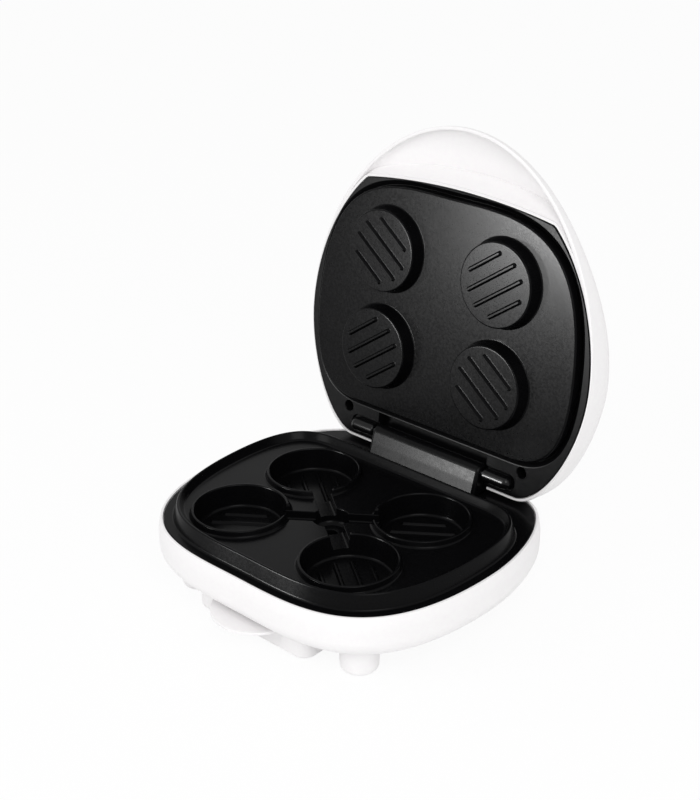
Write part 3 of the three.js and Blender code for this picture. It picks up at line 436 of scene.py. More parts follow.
# %% [markdown]
# ### The finishes
# ABS is moulded in a polished tool, so it is glossy with a faint ripple. The castings carry a sprayed
# PTFE coat: near black, satin, with a fine pebble that breaks reflections up. The hinge block, knuckles and
# frame are one black heat-resistant plastic: satin, worn brighter, and duller. Steel, aluminium and ceramic
# parts sit inside.

# %% All the finishes
finishes = {
    # ABS: glossy, neutral white, with a ripple of a few millimetres from the tool's polish
    "white_plastic": finish(
        "moulded white ABS", ("#f4f3f3", "#f3f1f2"), 3, (0.34, 0.4), 6, 2.6, 0.002, IOR=1.54
    ),
    # PTFE coat: nearly black and little reflecting. Its pebble is about 0.2 mm, drawn at 0.8 mm to show
    "nonstick_coating": finish(
        "sprayed PTFE coat", ("#060607", "#0a0a0b"), 0.8, (0.2, 0.25), 1.6, 0.8, 0.012,
        IOR=1.36, Specular_IOR_Level=0.1,
    ),
    # Glass-filled PBT: semi-gloss black with a light spark-eroded grain
    "black_plastic": finish(
        "moulded black PBT", ("#070708", "#0a0a0b"), 1.5, (0.22, 0.27), 2.5, 0.8, 0.004,
        IOR=1.5, Specular_IOR_Level=0.08,
    ),
    # The knuckles are the same plastic, worn bright by the block
    "knuckle_plastic": finish(
        "worn black PBT", ("#070708", "#0a0a0b"), 1.5, (0.19, 0.24), 2.5, 0.8, 0.004,
        IOR=1.5, Specular_IOR_Level=0.2,
    ),
    # The frame is the same plastic from a duller tool
    "frame_plastic": finish(
        "spark-eroded black PBT", ("#070708", "#0b0b0c"), 1.5, (0.28, 0.34), 2, 0.7, 0.01,
        IOR=1.5, Specular_IOR_Level=0.08,
    ),
    # Rubber: matt, dusty
    "pad_rubber": finish("moulded rubber", ("#232325", "#2c2c2e"), 1.2, (0.8, 0.95), 2, 0.7, 0.04, IOR=1.52),
    # Turned steel: bright, with a fine scatter left by the tool
    "steel": finish("turned steel", ("#bcbdbf", "#a9abae"), 0.9, (0.25, 0.4), 0.7, 0.6, 0.01, Metallic=1),
    # Steel painted near black as painted shade: the lid's screws, at the bottom of their holes, take the
    # holes' darkness
    "hole_shade_steel": finish(
        "steel painted with hole shade", ("#1a1a1c", "#121214"), 0.9, (0.4, 0.5), 0.7, 0.6, 0.01, Metallic=1
    ),
    # Stainless tube after heating: duller, with straw and brown clouds some millimetres wide
    "tube_steel": finish(
        "heat-dulled steel tube", ("#9c958c", "#7d7268"), 7, (0.35, 0.55), 2, 0.8, 0.01, Metallic=1
    ),
    # Rolled aluminium: pale, soft sheen
    "sheet_aluminium": finish(
        "rolled aluminium", ("#cfd1d3", "#bfc2c5"), 5, (0.3, 0.42), 1.5, 0.9, 0.008, Metallic=1
    ),
    # Steatite ceramic: matt, off-white, faintly gritty
    "ceramic": finish(
        "steatite ceramic", ("#ddd8cc", "#cfc9bb"), 1.4, (0.65, 0.8), 1, 0.5, 0.03, IOR=1.6
    ),
    # Silicone sleeves in the colours of live and neutral
    "lead_live_sleeve": finish(
        "brown silicone", ("#6f4326", "#7b4d2e"), 2, (0.5, 0.65), 1.5, 0.6, 0.02, IOR=1.41
    ),
    "lead_neutral_sleeve": finish(
        "blue silicone", ("#2a5596", "#3160a4"), 2, (0.5, 0.65), 1.5, 0.6, 0.02, IOR=1.41
    ),
    # Clear-coloured acrylic lenses: polished, deep colour
    "red_lens": finish("red acrylic", ("#b3221d", "#a51b18"), 3, (0.06, 0.12), 3, 1.5, 0.004, IOR=1.49),
    "green_lens": finish("green acrylic", ("#2b8d40", "#257d38"), 3, (0.06, 0.12), 3, 1.5, 0.004, IOR=1.49),
}
print(len(finishes), "finishes")

# %% [markdown]
# ### Parts that keep the CAD's mesh
# Screws, elements, clamps, shields, thermostats, fuse, terminal block and leads sit inside or deep in their
# holes, where facets hardly show. Building them again would gain little, so each only gets its finish. The
# start of a name picks out all pieces of a kind.

# %% Finishes for the inner parts
carried = 0
for slot_name, node_names in (
    ("steel", ("plate_screw", "hinge_block_screw", "lower_clamp_screw", "upper_clamp_screw")),
    # The lid's screws get the steel painted near black, as painted shade in their holes
    ("hole_shade_steel", ("lid_screw",)),
    ("tube_steel", ("lower_heating_element", "upper_heating_element")),
    ("sheet_aluminium", ("lower_element_clamp", "upper_element_clamp")),
    ("sheet_aluminium", ("lower_heat_shield", "upper_heat_shield")),
    ("ceramic", ("lower_thermostat", "upper_thermostat", "thermal_fuse", "terminal_block")),
    ("lead_live_sleeve", ("lead_live",)),
    ("lead_neutral_sleeve", ("lead_neutral",)),
):
    for node_name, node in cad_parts.items():
        if node_name.startswith(node_names):
            node.data.materials.clear()
            node.data.materials.append(finishes[slot_name])
            carried += 1
print(carried, "CAD nodes keep their shape and get a finish")

# %% [markdown]
# ## The base moulding
# A bowl of white ABS: rounded below, leaning in slightly to a thin lip round the black plate. It is one
# section carried round the plan, so one stack of rings makes outside, lip, shelf and inside together.

# %% The bowl's section
bottom_radius = 12


def arc_rings(curve, centre_offset, centre_z, radius, start, end, steps=10):
    """Rings on a circular arc of the section: offset c + r cos a, height z + r sin a."""
    angles = np.radians(np.linspace(start, end, steps + 1))
    section = [(centre_offset + radius * math.cos(a), centre_z + radius * math.sin(a)) for a in angles]
    return [ring(curve, offset, height) for offset, height in section]


def housing_rings():
    """The bowl's section: outside from below, over the lip and the shelf, and down the inside."""
    centre = wall_bulge - bottom_radius, foot_height + bottom_radius
    outside = arc_rings(plate_plan, *centre, bottom_radius, -90, 0)
    shelf_z = flange_z - lip - gap
    top = [
        ring(plate_plan, wall_bulge, flange_z - lip * 3),
        ring(plate_plan, lip, flange_z + 0.5),
        ring(plate_plan, gap, flange_z + 0.5),
        ring(plate_plan, gap, shelf_z),
        ring(plate_plan, gap - 2.6, shelf_z),
        ring(plate_plan, wall_bulge - wall, shelf_z - gap - 2.6),
    ]
    inside = arc_rings(plate_plan, *centre, bottom_radius - wall, 0, -90)
    first = len(outside)
    return softened(outside + top + inside, {first: 2.5, first + 1: 0.7, first + 2: 0.3})


# %% [markdown]
# ### Feet and holes
# The four feet are turned bodies that sink into the floor, and a boolean joins them, so that each seam is a
# clean circle. Screws come up from below, and a wider hole in the middle lets the plate's spout through.

# %% Lower housing
foot_x, foot_rear_y = half_width - 41.5, rear_y - 29
foot_places = [(side * foot_x, y) for side in (-1, 1) for y in (foot_front_y, foot_rear_y)]
post_x, post_front_y, post_rear_y = half_width - 23.1, front_y + 58.3, rear_y - 53
post_places = [(side * post_x, y) for side in (-1, 1) for y in (post_front_y, post_rear_y)]
block_screw_x = 26


def foot(x, y):
    """A turned foot with a rounded lower edge and a shallow recess for its pad."""
    profile = [(1, 2.1), (7.5, 2.1), (7.5, 0.4), (11.4, 0.4), (12.2, 21.2), (1, 21.2)]
    return turned(profile, {2: 0.3, 3: 3}, x, y)


housing = solid("housing_moulding", skin(housing_rings()))
carve(housing, "UNION", *[foot(x, y) for x, y in foot_places])
screw_holes = post_places + [(side * block_screw_x, hinge_y) for side in (-1, 1)]
holes = [turned([(3, -1), (3, 23.6)], None, x, y, 48) for x, y in screw_holes]
drain_hole = turned([(6.7, 10), (6.7, 30)], None, 0, 0, 64)
carve(housing, "DIFFERENCE", drain_hole, *holes)
place(housing, finishes["white_plastic"], "base", "white_plastic", "lower_housing")
print("Lower housing:", len(housing.data.polygons), "faces")

# %% [markdown]
# ## The rest of the white base: rails, posts and pads
# Angle rails under the floor carry the tray's rims, and posts inside take the plate's screws. A rail is a
# small section carried along Y. The posts, and a collar round the hole in the middle, are turned. All of
# them sink into the moulding, so no boolean is needed.

# %% Rails, posts and pads
tray_x = -2.8
tray_half = 46.3
tray_rear_y = 21
rail_front_y = -50
rail_thickness = 2
rim_width = 3
rim_thickness = 1.6
rim_drop = 3.5
rim_z = foot_height - gap - rim_drop - rim_thickness
post_radius = 4.2
post_top_z = 41.3


def post(x, y):
    """A screw post on a wider shoulder, standing on the floor inside."""
    profile = [(6.5, foot_height + 0.5), (6.5, 25), (post_radius, 25), (post_radius, post_top_z)]
    return turned(profile, {2: 0.6}, x, y, 48)


def carried_along_y(section, low_y, high_y):
    """A closed (x, z) section at two places along Y, joined to a bar."""
    x, z = np.array(section, float).T
    return skin([np.column_stack([x, np.full(len(x), y), z]) for y in (low_y, high_y)])


def rail(side):
    """An angle whose foot reaches under the tray's rim."""
    inner = tray_half + gap * 2
    web = tray_half + rim_width + gap * 2
    section = [
        (inner, rim_z - gap - rail_thickness),
        (web + rail_thickness, rim_z - gap - rail_thickness),
        (web + rail_thickness, foot_height + 1),
        (web, foot_height + 1),
        (web, rim_z - gap),
        (inner, rim_z - gap),
    ]
    return carried_along_y([(tray_x + side * x, z) for x, z in section], rail_front_y, tray_rear_y)


inner_parts = [rail(-1), rail(1)]
inner_parts += [post(x, y) for x, y in post_places]
collar = [(9.1, 19.5), (6.8, 19.5), (6.8, 24.2), (9.1, 24.2)]
inner_parts += [skin([circle(radius, z, count=64) for radius, z in collar], closed=True)]
rails = solid("tray_rails", *inner_parts)
place(rails, finishes["white_plastic"], "base", "white_plastic")
for (x, y), corner in zip(foot_places, ("front_left", "rear_left", "front_right", "rear_right")):
    pad = solid("pad_" + corner, turned([(1, 0), (7.2, 0), (7.2, 1.7), (1, 1.7)], {1: 0.4, 2: 0.2}, x, y, 64))
    place(pad, finishes["pad_rubber"], "base", "pad_rubber", "foot_pad_" + corner)
print("Rails, posts and four pads are in place")

# %% [markdown]
# ## The drip tray
# A shallow open box that slides out to the front, with a half-round lip to pull it by. Its parts are of two
# kinds: a rounded rectangle carried up, over its rim and down inside, and flat slabs with soft edges.


# %% Rounded rectangles and slabs
def rounded_rectangle(low_x, high_x, low_y, high_y, radius, count=160):
    """Four quarter circles joined by straight sides, anticlockwise, spaced evenly by length."""
    angle = np.linspace(0, np.pi / 2, 24)
    centres = ((high_x, high_y, 1, 1), (low_x, high_y, -1, 1), (low_x, low_y, -1, -1), (high_x, low_y, 1, -1))
    corners = []
    for quarter, (x, y, side_x, side_y) in enumerate(centres):
        turn = angle + quarter * np.pi / 2
        centre = np.array([x - side_x * radius, y - side_y * radius])
        corners.append(centre + radius * np.column_stack([np.cos(turn), np.sin(turn)]))
    loop = np.concatenate(corners + [corners[0][:1]])
    return respaced(loop, count + 1)[:-1]


def slab(curve, low_z, high_z, edge):
    """A flat plate between two heights, with its edges rounded by edge."""
    rings = [
        ring(curve, -edge * 3, low_z),
        ring(curve, 0, low_z),
        ring(curve, 0, high_z),
        ring(curve, -edge * 3, high_z),
    ]
    return skin(softened(rings, {1: edge, 2: edge}))


# %% [markdown]
# ### Box, lip and rims
# The lip is most of a half circle, and its ends stop halfway in the box's front wall. The two rims run in
# the rails. Four skins that sink into each other make the one mesh.

# %% Tray
tray_front_y = -69
tray_top_z = foot_height - gap
tray_low_z, tray_floor_z = 1.4, 3.2
tray_wall = 1.8
tray_corner = 8
box_plan = rounded_rectangle(
    tray_x - tray_half, tray_x + tray_half, tray_front_y, tray_rear_y, tray_corner, 240
)
tray_rings = [
    ring(box_plan, -5, tray_low_z),
    ring(box_plan, 0, tray_low_z),
    ring(box_plan, 0, tray_top_z),
    ring(box_plan, -tray_wall, tray_top_z),
    ring(box_plan, -tray_wall, tray_floor_z),
    ring(box_plan, -5, tray_floor_z),
]
lip_radius, lip_step_back = 29, 8.4
lip_start = 0.2616  # Radians from the level: it puts the lip's ends halfway in the front wall
lip_drop, lip_plate = 2.4, 1.8
lip_angle = np.linspace(math.pi + lip_start, 2 * math.pi - lip_start, 120)
lip_arc = lip_radius * np.column_stack([np.cos(lip_angle), np.sin(lip_angle)])
lip_arc = lip_arc + [tray_x, tray_front_y + lip_step_back]
lip_plan = respaced(np.concatenate([lip_arc, lip_arc[:1]]), 201)[:-1]
rim_inner, rim_outer, rim_rear_y = 45.4, 49.3, 13
side_rims = [
    rounded_rectangle(tray_x + low, tray_x + high, rail_front_y, rim_rear_y, 0.8, 120)
    for low, high in ((-rim_outer, -rim_inner), (rim_inner, rim_outer))
]
tray = solid(
    "tray_moulding",
    skin(softened(tray_rings, {1: 2, 2: 0.5, 3: 0.5, 4: 1.4})),
    slab(lip_plan, tray_top_z - lip_drop - lip_plate, tray_top_z - lip_drop, 0.5),
    *[slab(rim, rim_z, rim_z + rim_thickness, 0.25) for rim in side_rims],
)
place(tray, finishes["white_plastic"], "tray", "white_plastic", "drip_tray")
print("Tray:", len(tray.data.polygons), "faces")

# %% [markdown]
# ## Ribs and channels
# Four bars stand in each well and on each disc, and channels lead from the wells to a pit along the two
# diagonals. A bar is a stack of shrinking outlines, since a bevelled cube has no flared foot. A channel is a
# section carried straight through, and its cutter widens at the top like the mould's edge.

# %% Rib and channel helpers
well_x, well_y = 45.5, 32.5
well_places = [(side_x * well_x, side_y * well_y) for side_x in (-1, 1) for side_y in (-1, 1)]
wells = [(x, y, math.atan2(y, x)) for x, y in well_places]
diagonals = [angle for _, _, angle in wells[:2]]
channel_reach = 30
channel_half, channel_depth = 5.4, 5.5
trough_half = 7.5
notch_half = 45.5
rib_lengths = (26.8, 40, 40, 26.8)
rib_pitch = 10.4
rib_end = 0.85
rib_rows = ((2, -0.3), (1.6, 0.02), (0.68, 0.93), (0.5, 1.0))  # Radius, and share of the rise
well_rib_rise = 1.2


def rib(place_xy, angle, length, side, base_z, rise):
    """A bar with round ends that shrinks as it rises from a flared foot, turned by angle about its disc."""
    half = np.linspace(-np.pi / 2, np.pi / 2, 13)
    arc = np.column_stack([np.cos(half), np.sin(half)])
    shift = length / 2 - rib_end
    turn = np.array([[math.cos(angle), math.sin(angle)], [-math.sin(angle), math.cos(angle)]])
    rows = []
    for radius, share in rib_rows:
        ends = [arc * radius + [shift, 0], -arc * radius - [shift, 0]]
        flat = np.concatenate(ends) + [0, side]
        rows.append(np.column_stack([flat @ turn + place_xy, np.full(len(flat), base_z + rise * share)]))
    return skin(rows)


def rib_set(x, y, angle, base_z, rise):
    """Four bars side by side, the outer two shorter, as the round face allows."""
    offsets = (np.arange(4) - 1.5) * rib_pitch
    return [rib((x, y), angle, length, side, base_z, rise) for length, side in zip(rib_lengths, offsets)]


def channel(angle, reach, corners):
    """A closed section of (across, height) corners carried through the plate's middle along a diagonal."""
    across, height = np.array(corners, float).T
    way = np.array([math.cos(angle), math.sin(angle)])
    aside = np.array([-way[1], way[0]])
    flat = across[:, None] * aside
    return skin([np.column_stack([flat + way * end, height]) for end in (-reach, reach)])


def gutter_corners(half, floor_z, steps=6):
    """A channel's cutter: rounded floor corners, upright sides, edges flared at the deck and the rings."""
    floor_round, deck_round, ring_round = 1.3, 0.6, 2.4
    bend = np.linspace(0, np.pi / 2, steps)
    flare = np.linspace(0, 1.35, steps)
    floor_x = half - floor_round * (1 - np.sin(bend))
    floor_h = floor_z + floor_round * (1 - np.cos(bend))
    edge_x = half + deck_round * (1 - np.cos(flare))
    edge_h = deck_z - 0.56 + deck_round * np.sin(flare)
    ring_x = half + deck_round + ring_round * (1 - np.cos(flare))
    ring_h = ring_z - 2.1 + ring_round * np.sin(flare)
    across = np.concatenate([floor_x, edge_x, ring_x, [half + 2.6]])
    height = np.concatenate([floor_h, edge_h, ring_h, [60]])
    right = np.column_stack([across, height])
    return np.concatenate([right, right[::-1] * [-1, 1]])


# %% [markdown]
# ## The lower casting
# One aluminium casting: a flat flange, a raised ridge round a sunken deck, four ringed wells, and a pit
# with a channel from each well. The flange, ridge and deck are one stack of rings. Cups are joined on,
# then hollowed, and the channels are cut last, through rings and deck.

# %% Lower casting
plate_rings = [
    ring(ridge_plan, -flange_width, deck_under_z),
    ring(ridge_plan, -3, 45),
    ring(plate_plan, -gap, 45),
    ring(plate_plan, -gap, flange_z),
    ring(ridge_plan, 0.1, flange_z),
    ring(ridge_plan, -2.7, ridge_z),
    ring(ridge_plan, -4.1, ridge_z),
    ring(ridge_plan, -7, deck_z),
    ring(ridge_plan, -10, deck_z),
]
plate = solid("lower_casting", skin(softened(plate_rings, {3: 0.4, 4: 1.2, 5: 0.9, 6: 0.8, 7: 1.4})))
cup_profile = [(28.4, 38.5), (33.2, 51.4), (31.0, 51.6), (30.0, ring_z), (2, ring_z)]
pit_profile = [(5.5, 19.3), (5.5, 38.5), (13.5, 39.5), (13.5, 50)]
carve(
    plate,
    "UNION",
    turned(pit_profile),
    *[turned(cup_profile, {1: 0.3, 2: 1.3, 3: 0.6}, x, y, 128) for x, y, _ in wells],
)
trough = [(-trough_half, 44), (trough_half, 44), (trough_half, 49.5), (-trough_half, 49.5)]
for angle in diagonals:
    carve(plate, "UNION", channel(angle, channel_reach, trough))
hollow_profile = [(2, well_floor_z), (26.8, well_floor_z), (28.3, 55.0), (29.0, 55.65), (29.0, 60)]
dish_profile = [(4, 30), (4, 40), (9.5, 40.5), (11.5, 42.5), (11.5, 51), (12.1, 51.65), (12.1, 60)]
carve(
    plate,
    "DIFFERENCE",
    turned(dish_profile, {2: 1, 3: 1.2, 4: 0.4}),
    *[turned(hollow_profile, {1: 2.2, 2: 0.5}, x, y, 128) for x, y, _ in wells],
)
carve(plate, "DIFFERENCE", turned([(4, 10), (4, 45)], None, 0, 0, 64))
gutter = gutter_corners(channel_half, deck_z - channel_depth)
for angle in diagonals:
    carve(plate, "DIFFERENCE", channel(angle, channel_reach, gutter))
carve(plate, "DIFFERENCE", box(-notch_half, notch_half, 80.6, 103, 43, 56))
place(plate, finishes["nonstick_coating"], "base", "nonstick_coating", "lower_cooking_plate")
well_ribs = [one for x, y, angle in wells for one in rib_set(x, y, angle, well_floor_z, well_rib_rise)]
floor_ribs = solid("lower_ribs", *well_ribs)
place(floor_ribs, finishes["nonstick_coating"], "base", "nonstick_coating")
print("Lower casting:", len(plate.data.polygons), "faces, and", len(well_ribs), "ribs")

# %% [markdown]
# ## The upper casting
# A shallow pan whose face stands proud of the frame, with four discs that press down into the wells. Each
# disc is turned, with a small round on its face and a fillet where it meets the plateau, so no boolean is
# needed: the skins sink into each other as the metal does.

# %% Plateau, discs and ribs
pan_rings = [
    ring(ridge_plan, -8, plateau_z),
    ring(ridge_plan, 0, plateau_z),
    ring(ridge_plan, 0, frame_top_z + gap),
    ring(ridge_plan, 2.2, frame_top_z + gap),
    ring(ridge_plan, 2.2, plate_top_z),
    ring(ridge_plan, -3, plate_top_z),
    ring(ridge_plan, -3.7, plateau_z + 3),
    ring(ridge_plan, -8, plateau_z + 3),
]
disc_rib_rise = 1.9
disc_profile = [(2, disc_z), (26.3, disc_z), (27.9, plateau_z - 0.05)]
disc_profile += [(30, plateau_z + 0.1), (29, plateau_z + 2)]
discs = [turned(disc_profile, {1: 1.0, 2: 0.8}, x, y, 128) for x, y, _ in wells]
disc_ribs = [one for x, y, angle in wells for one in rib_set(x, y, angle, disc_z, -disc_rib_rise)]
pan = solid("upper_casting", skin(softened(pan_rings, {1: 1.3, 2: 0.3})), *discs, *disc_ribs)
place(pan, finishes["nonstick_coating"], "lid", "nonstick_coating", "upper_cooking_plate")
print("Upper casting:", len(pan.data.polygons), "faces")

# %% [markdown]
# ## Knuckles
# The lid turns on two steel pins that end in its knuckles: short barrels beside the hinge block, each tied
# up into the frame by a saddle. A barrel is rows of circles about the hinge's axis, and the same rows make
# the pins. A Screw modifier would turn a profile too, but about an axis that has to be set up first.

# %% Knuckle helpers
knuckle_inner = 46.5
knuckle_length = 20
knuckle_radius = 4.6


def barrel(side, rows, count=48):
    """A body turned about the hinge's axis, from (distance along X, radius) rows."""
    angle = np.linspace(0, 2 * np.pi, count, endpoint=False)
    circle_y, circle_z = np.cos(angle), np.sin(angle)
    rings = [
        np.column_stack([np.full(count, side * x), hinge_y + radius * circle_y, hinge_z + radius * circle_z])
        for x, radius in rows
    ]
    return skin(rings)


def knuckle(side):
    """A straight barrel whose outer end is a quarter circle: x = s + r sin a, radius = r cos a."""
    straight = knuckle_inner + knuckle_length - knuckle_radius
    bend = np.radians(np.linspace(0, 86, 10))
    dome = [(straight + knuckle_radius * math.sin(a), knuckle_radius * math.cos(a)) for a in bend]
    return barrel(side, [(knuckle_inner, knuckle_radius - 0.5), (knuckle_inner + 0.5, knuckle_radius)] + dome)


def saddle(side):
    """The web that ties a knuckle up into the frame."""
    saddle_half, saddle_length = 3.9, 16
    start, end = sorted((side * (knuckle_inner + gap), side * (knuckle_inner + saddle_length)))
    return box(start, end, hinge_y - saddle_half, hinge_y + saddle_half, hinge_z, frame_top_z - 0.1)


# %% [markdown]
# ## The lid's black frame
# A ring of black plastic clamps the upper casting into the lid. At the rear it widens to two ears with a
# screw hole each, and carries the knuckles in round-ended pockets. A small hood closes the gap over the
# hinge block. The ring is a closed section, its outside on the frame's plan and its inside on the ridge's.
# Holes and pockets are cut.

# %% Frame and ears
ear_x, ear_y = half_width - 36.9, rear_y - 18
ear_places = [(side * ear_x, ear_y) for side in (-1, 1)]
hood_half = 46.9
frame_rings = [
    ring(frame_plan, -gap, frame_z),
    ring(frame_plan, -gap, frame_top_z),
    ring(ridge_plan, 0.6, frame_top_z),
    ring(ridge_plan, 0.6, frame_top_z - 0.8),
    ring(ridge_plan, 1.4, frame_top_z - 1.2),
    ring(ridge_plan, 3.6, frame_z),
]
black_frame = solid("frame_moulding", skin(softened(frame_rings, {0: 0.7, 5: 0.5}, closed=True), closed=True))
carve(black_frame, "UNION", box(-hood_half, hood_half, 78.3, 96.6, 62.5, 70.4))
carve(black_frame, "DIFFERENCE", box(-notch_half, notch_half, 79.7, 103, 58, 69))
carve(black_frame, "UNION", *[turned([(5.6, 63.5), (5.6, 71)], None, x, y, 64) for x, y in ear_places])
ear_bore = [(3.9, 60), (3.9, 61.2), (3.6, 61.6), (3.6, 69)]
carve(black_frame, "DIFFERENCE", *[turned(ear_bore, {2: 0.2}, x, y, 64) for x, y in ear_places])
pocket_half = 5.6
pocket_near = knuckle_inner - pocket_half * 2
pocket_far = knuckle_inner + knuckle_length + 1.6
pocket_section = ((0.4, 60), (0.4, 61), (0, 61.4), (0, 62.6))
pockets = []
for side in (-1, 1):
    near, far = sorted((side * pocket_near, side * pocket_far))
    outline = rounded_rectangle(near, far, hinge_y - pocket_half, hinge_y + pocket_half, pocket_half - 0.5)
    pockets.append(skin([ring(outline, out, height) for out, height in pocket_section]))
carve(black_frame, "DIFFERENCE", *pockets)
place(black_frame, finishes["frame_plastic"], "lid", "black_plastic", "lid_frame")
knuckles = solid("hinge_knuckles", *[make(side) for side in (-1, 1) for make in (knuckle, saddle)])
place(knuckles, finishes["knuckle_plastic"], "lid", "black_plastic")
print("Frame:", len(black_frame.data.polygons), "faces")

# %% [markdown]
# ## The hinge block and pins
# The block between the knuckles is fixed to the base: a bar with a rounded crown that leans forward to the
# plate, and softly rounded ends. Its section is carried along X and drawn in on a quarter circle at the ends.

# %% Block and pins
block_half = 44.5
block_round = 2.5
crown_radius = 6


def block_section():
    """Corners of the (y, z) section with its crown as an arc, softened at the three straight corners."""
    crown = np.radians(np.linspace(160.2, 0, 28))
    corners = [(-11.6, -15.3)]
    corners += [(crown_radius * math.cos(a), crown_radius * math.sin(a)) for a in crown]
    corners += [(8.1, -9.2), (8.1, -15.3)]
    loop = [np.array([[y + hinge_y, z + hinge_z]]) for y, z in corners[::-1]]
    last = len(loop) - 1
    soft = np.concatenate(softened(loop, {0: 0.4, 1: 1.5, last: 0.4}, closed=True))
    return respaced(np.concatenate([soft, soft[:1]]), 181)[:-1]


section = block_section()
bend = np.radians(np.linspace(0, 90, 9))
stations = [
    (-block_half + block_round * (1 - math.sin(a)), block_round * (1 - math.cos(a))) for a in bend[::-1]
]
stations += [(-x, inset) for x, inset in stations[::-1]]
block_rings = [
    np.column_stack([np.full(len(section), x), moved_out(section, -inset)]) for x, inset in stations
]
block = solid("hinge_moulding", skin(block_rings))
place(block, finishes["black_plastic"], "base", "black_plastic", "hinge_block")
for side, word in ((-1, "left"), (1, "right")):
    pin = solid("pin_" + word, barrel(side, [(29.5, 1.6), (29.9, 2), (61.1, 2), (61.5, 1.6)], 32))
    place(pin, finishes["steel"], "base", "steel", "hinge_pin_" + word)
print("Hinge block:", len(block.data.polygons), "faces")

# %% [markdown]
# ## The lid moulding
# The lid is a dome drawn out to a nose at the front, hollow below so that fingers lift it there. Every
# ring is the nose's plan drawn in towards a point above the widest place, raised on a superellipse: square
# at the sides, softer over the nose. A skirt inside it holds the frame and closes the hollow's back.

# %% Dome and skirt helpers
lid_height = 35.7
dome_start_y = 30
nose_start_y = -45
dome_power, nose_power_drop = 5.3, 1.4
nose_drop = 23.4
nose_rim_rise = 2.5
skirt_reach, skirt_spread = 1.8, 7.5
skirt_low_z, skirt_bend_z, skirt_top_z = 61.7, 76.5, 106.5


def smoothstep(value, low, high):
    """3 t^2 - 2 t^3, with t the share of the way from low to high, held between 0 and 1."""
    t = np.clip((value - low) / (high - low), 0, 1)
    return t * t * (3 - 2 * t)


def dome_rings(offset, thin):
    """reach^p + rise^p = 1, with reach the share left of the way out, and rise that of the height."""
    curve = moved_out(nose_plan, offset)
    share = smoothstep(dome_start_y - curve[:, 1], 0, dome_start_y - nose_y)
    nose = smoothstep(nose_start_y - curve[:, 1], 0, nose_start_y - nose_y)
    power = dome_power - nose_power_drop * share
    angles = np.radians(np.linspace(0, 45, 15))[:, None]
    steep = np.cos(angles) ** (2 / power)
    flat = steep[-1] * np.linspace(1, 0.02, 22)[1:, None]
    reach = np.concatenate([steep, flat])
    rise = np.concatenate([np.sin(angles) ** (2 / power), (1 - flat**power) ** (1 / power)])
    height = (lid_height - thin - nose_drop * share * reach**2) * rise
    z = lid_rim_z + nose_rim_rise * nose * reach**2 + height
    y = widest_y + (curve[:, 1] - widest_y) * reach
    return list(np.stack([curve[:, 0] * reach, y, z], axis=-1))


def dome_height(y):
    """The outside's height on the middle line, where reach is a straight share of the way to the tip."""
    reach = (y - widest_y) / (nose_y - widest_y)
    power = dome_power - nose_power_drop
    rise = (1 - reach**power) ** (1 / power)
    return lid_rim_z + nose_rim_rise * reach**2 + (lid_height - nose_drop * reach**2) * rise


def skirt_rings(inner, outer):
    """A closed band round the frame: a step that the frame sits in, then outwards into the dome."""
    far_out, far_in = outer + skirt_spread, inner + skirt_spread
    outside = [(outer, skirt_low_z), (outer, 63.5), (far_out, skirt_bend_z), (far_out, skirt_top_z)]
    inside = [(far_in, skirt_top_z), (far_in, skirt_bend_z), (inner, frame_top_z + gap)]
    step = [(gap, frame_top_z + gap), (gap, skirt_low_z)]
    return [ring(frame_plan, out, z) for out, z in outside + inside + step]


# %% [markdown]
# ### Shell, seat and notch
# Inside and outside of the shell are one stack of rings with a rounded rim. The skirt is crossed with a dome
# 0.8 mm smaller, so that its top ends within the shell's wall. A seat for the frame is cut first, then the
# skirt is joined, and last comes the notch over the hinge block.

# %% Lid moulding
inner_dome = dome_rings(-wall, wall)[::-1]
outer_dome = dome_rings(0, 0)
rim = len(inner_dome)
band = softened(skirt_rings(skirt_reach - wall, skirt_reach), {1: 2, 2: 3}, closed=True)
skirt = solid("skirt", skin(band, closed=True))
inset = 0.8
trim = dome_rings(-inset, inset)
trim_below = trim[0] - [0, 0, 3]
carve(skirt, "INTERSECT", skin([trim_below] + trim))
lid = solid("lid_moulding", skin(softened(inner_dome + outer_dome, {rim - 1: 0.7, rim: 0.8})))
carve(lid, "DIFFERENCE", skin([ring(frame_plan, gap, 57.5), ring(frame_plan, gap, frame_top_z + gap)]))
combine(lid, "UNION", skirt)
carve(lid, "DIFFERENCE", box(-47.2, 47.2, 78, 112, 57, 73))
place(lid, finishes["white_plastic"], "lid", "white_plastic", "lid_shell")
print("Lid:", len(lid.data.polygons), "faces")

# %% [markdown]
# ## Lamps and the cord's bush
# Two domed lenses stand out of the lid's top, red for power and green for ready. The bush in the rear wall
# is a small flanged tube. All are turned, and the bush is laid along Y.

# %% Lenses and bush
lamp_x, lamp_y = 9, -52
lamp_top = dome_height(lamp_y)
lens_profile = ((5.2, -6), (5.2, -4.6), (4, -4.6), (4, 0.5), (2.4, 1.1), (0.3, 1.2))  # Rise from the dome
for x, word, slot_name in ((-lamp_x, "power", "red_lens"), (lamp_x, "ready", "green_lens")):
    profile = [(radius, lamp_top + rise) for radius, rise in lens_profile]
    lens = solid(word + "_lens", turned(profile, {3: 0.7, 4: 1}, x, lamp_y, 64))
    place(lens, finishes[slot_name], "lid", slot_name, word + "_lamp")
inlet_x = -46
inlet_z = 36.2
bush_profile = [(2.9, -1.4), (5.2, -1.4), (5.2, 0.8), (4, 0.8), (4, 3.2), (5.2, 3.2), (4.8, 5.4), (2.9, 5.4)]
bush_rings = [circle(radius, rear_y + along, count=64) for radius, along in bush_profile]
bush_rings = softened(bush_rings, {6: 0.5}, closed=True)
bush_rings = [np.column_stack([r[:, 0] + inlet_x, r[:, 2], r[:, 1] + inlet_z]) for r in bush_rings]
bush = solid("cord_bush", skin(bush_rings, closed=True))
place(bush, finishes["black_plastic"], "base", "black_plastic", "cord_inlet")
print("Lamps at height", round(lamp_top, 1), "mm on the closed lid")

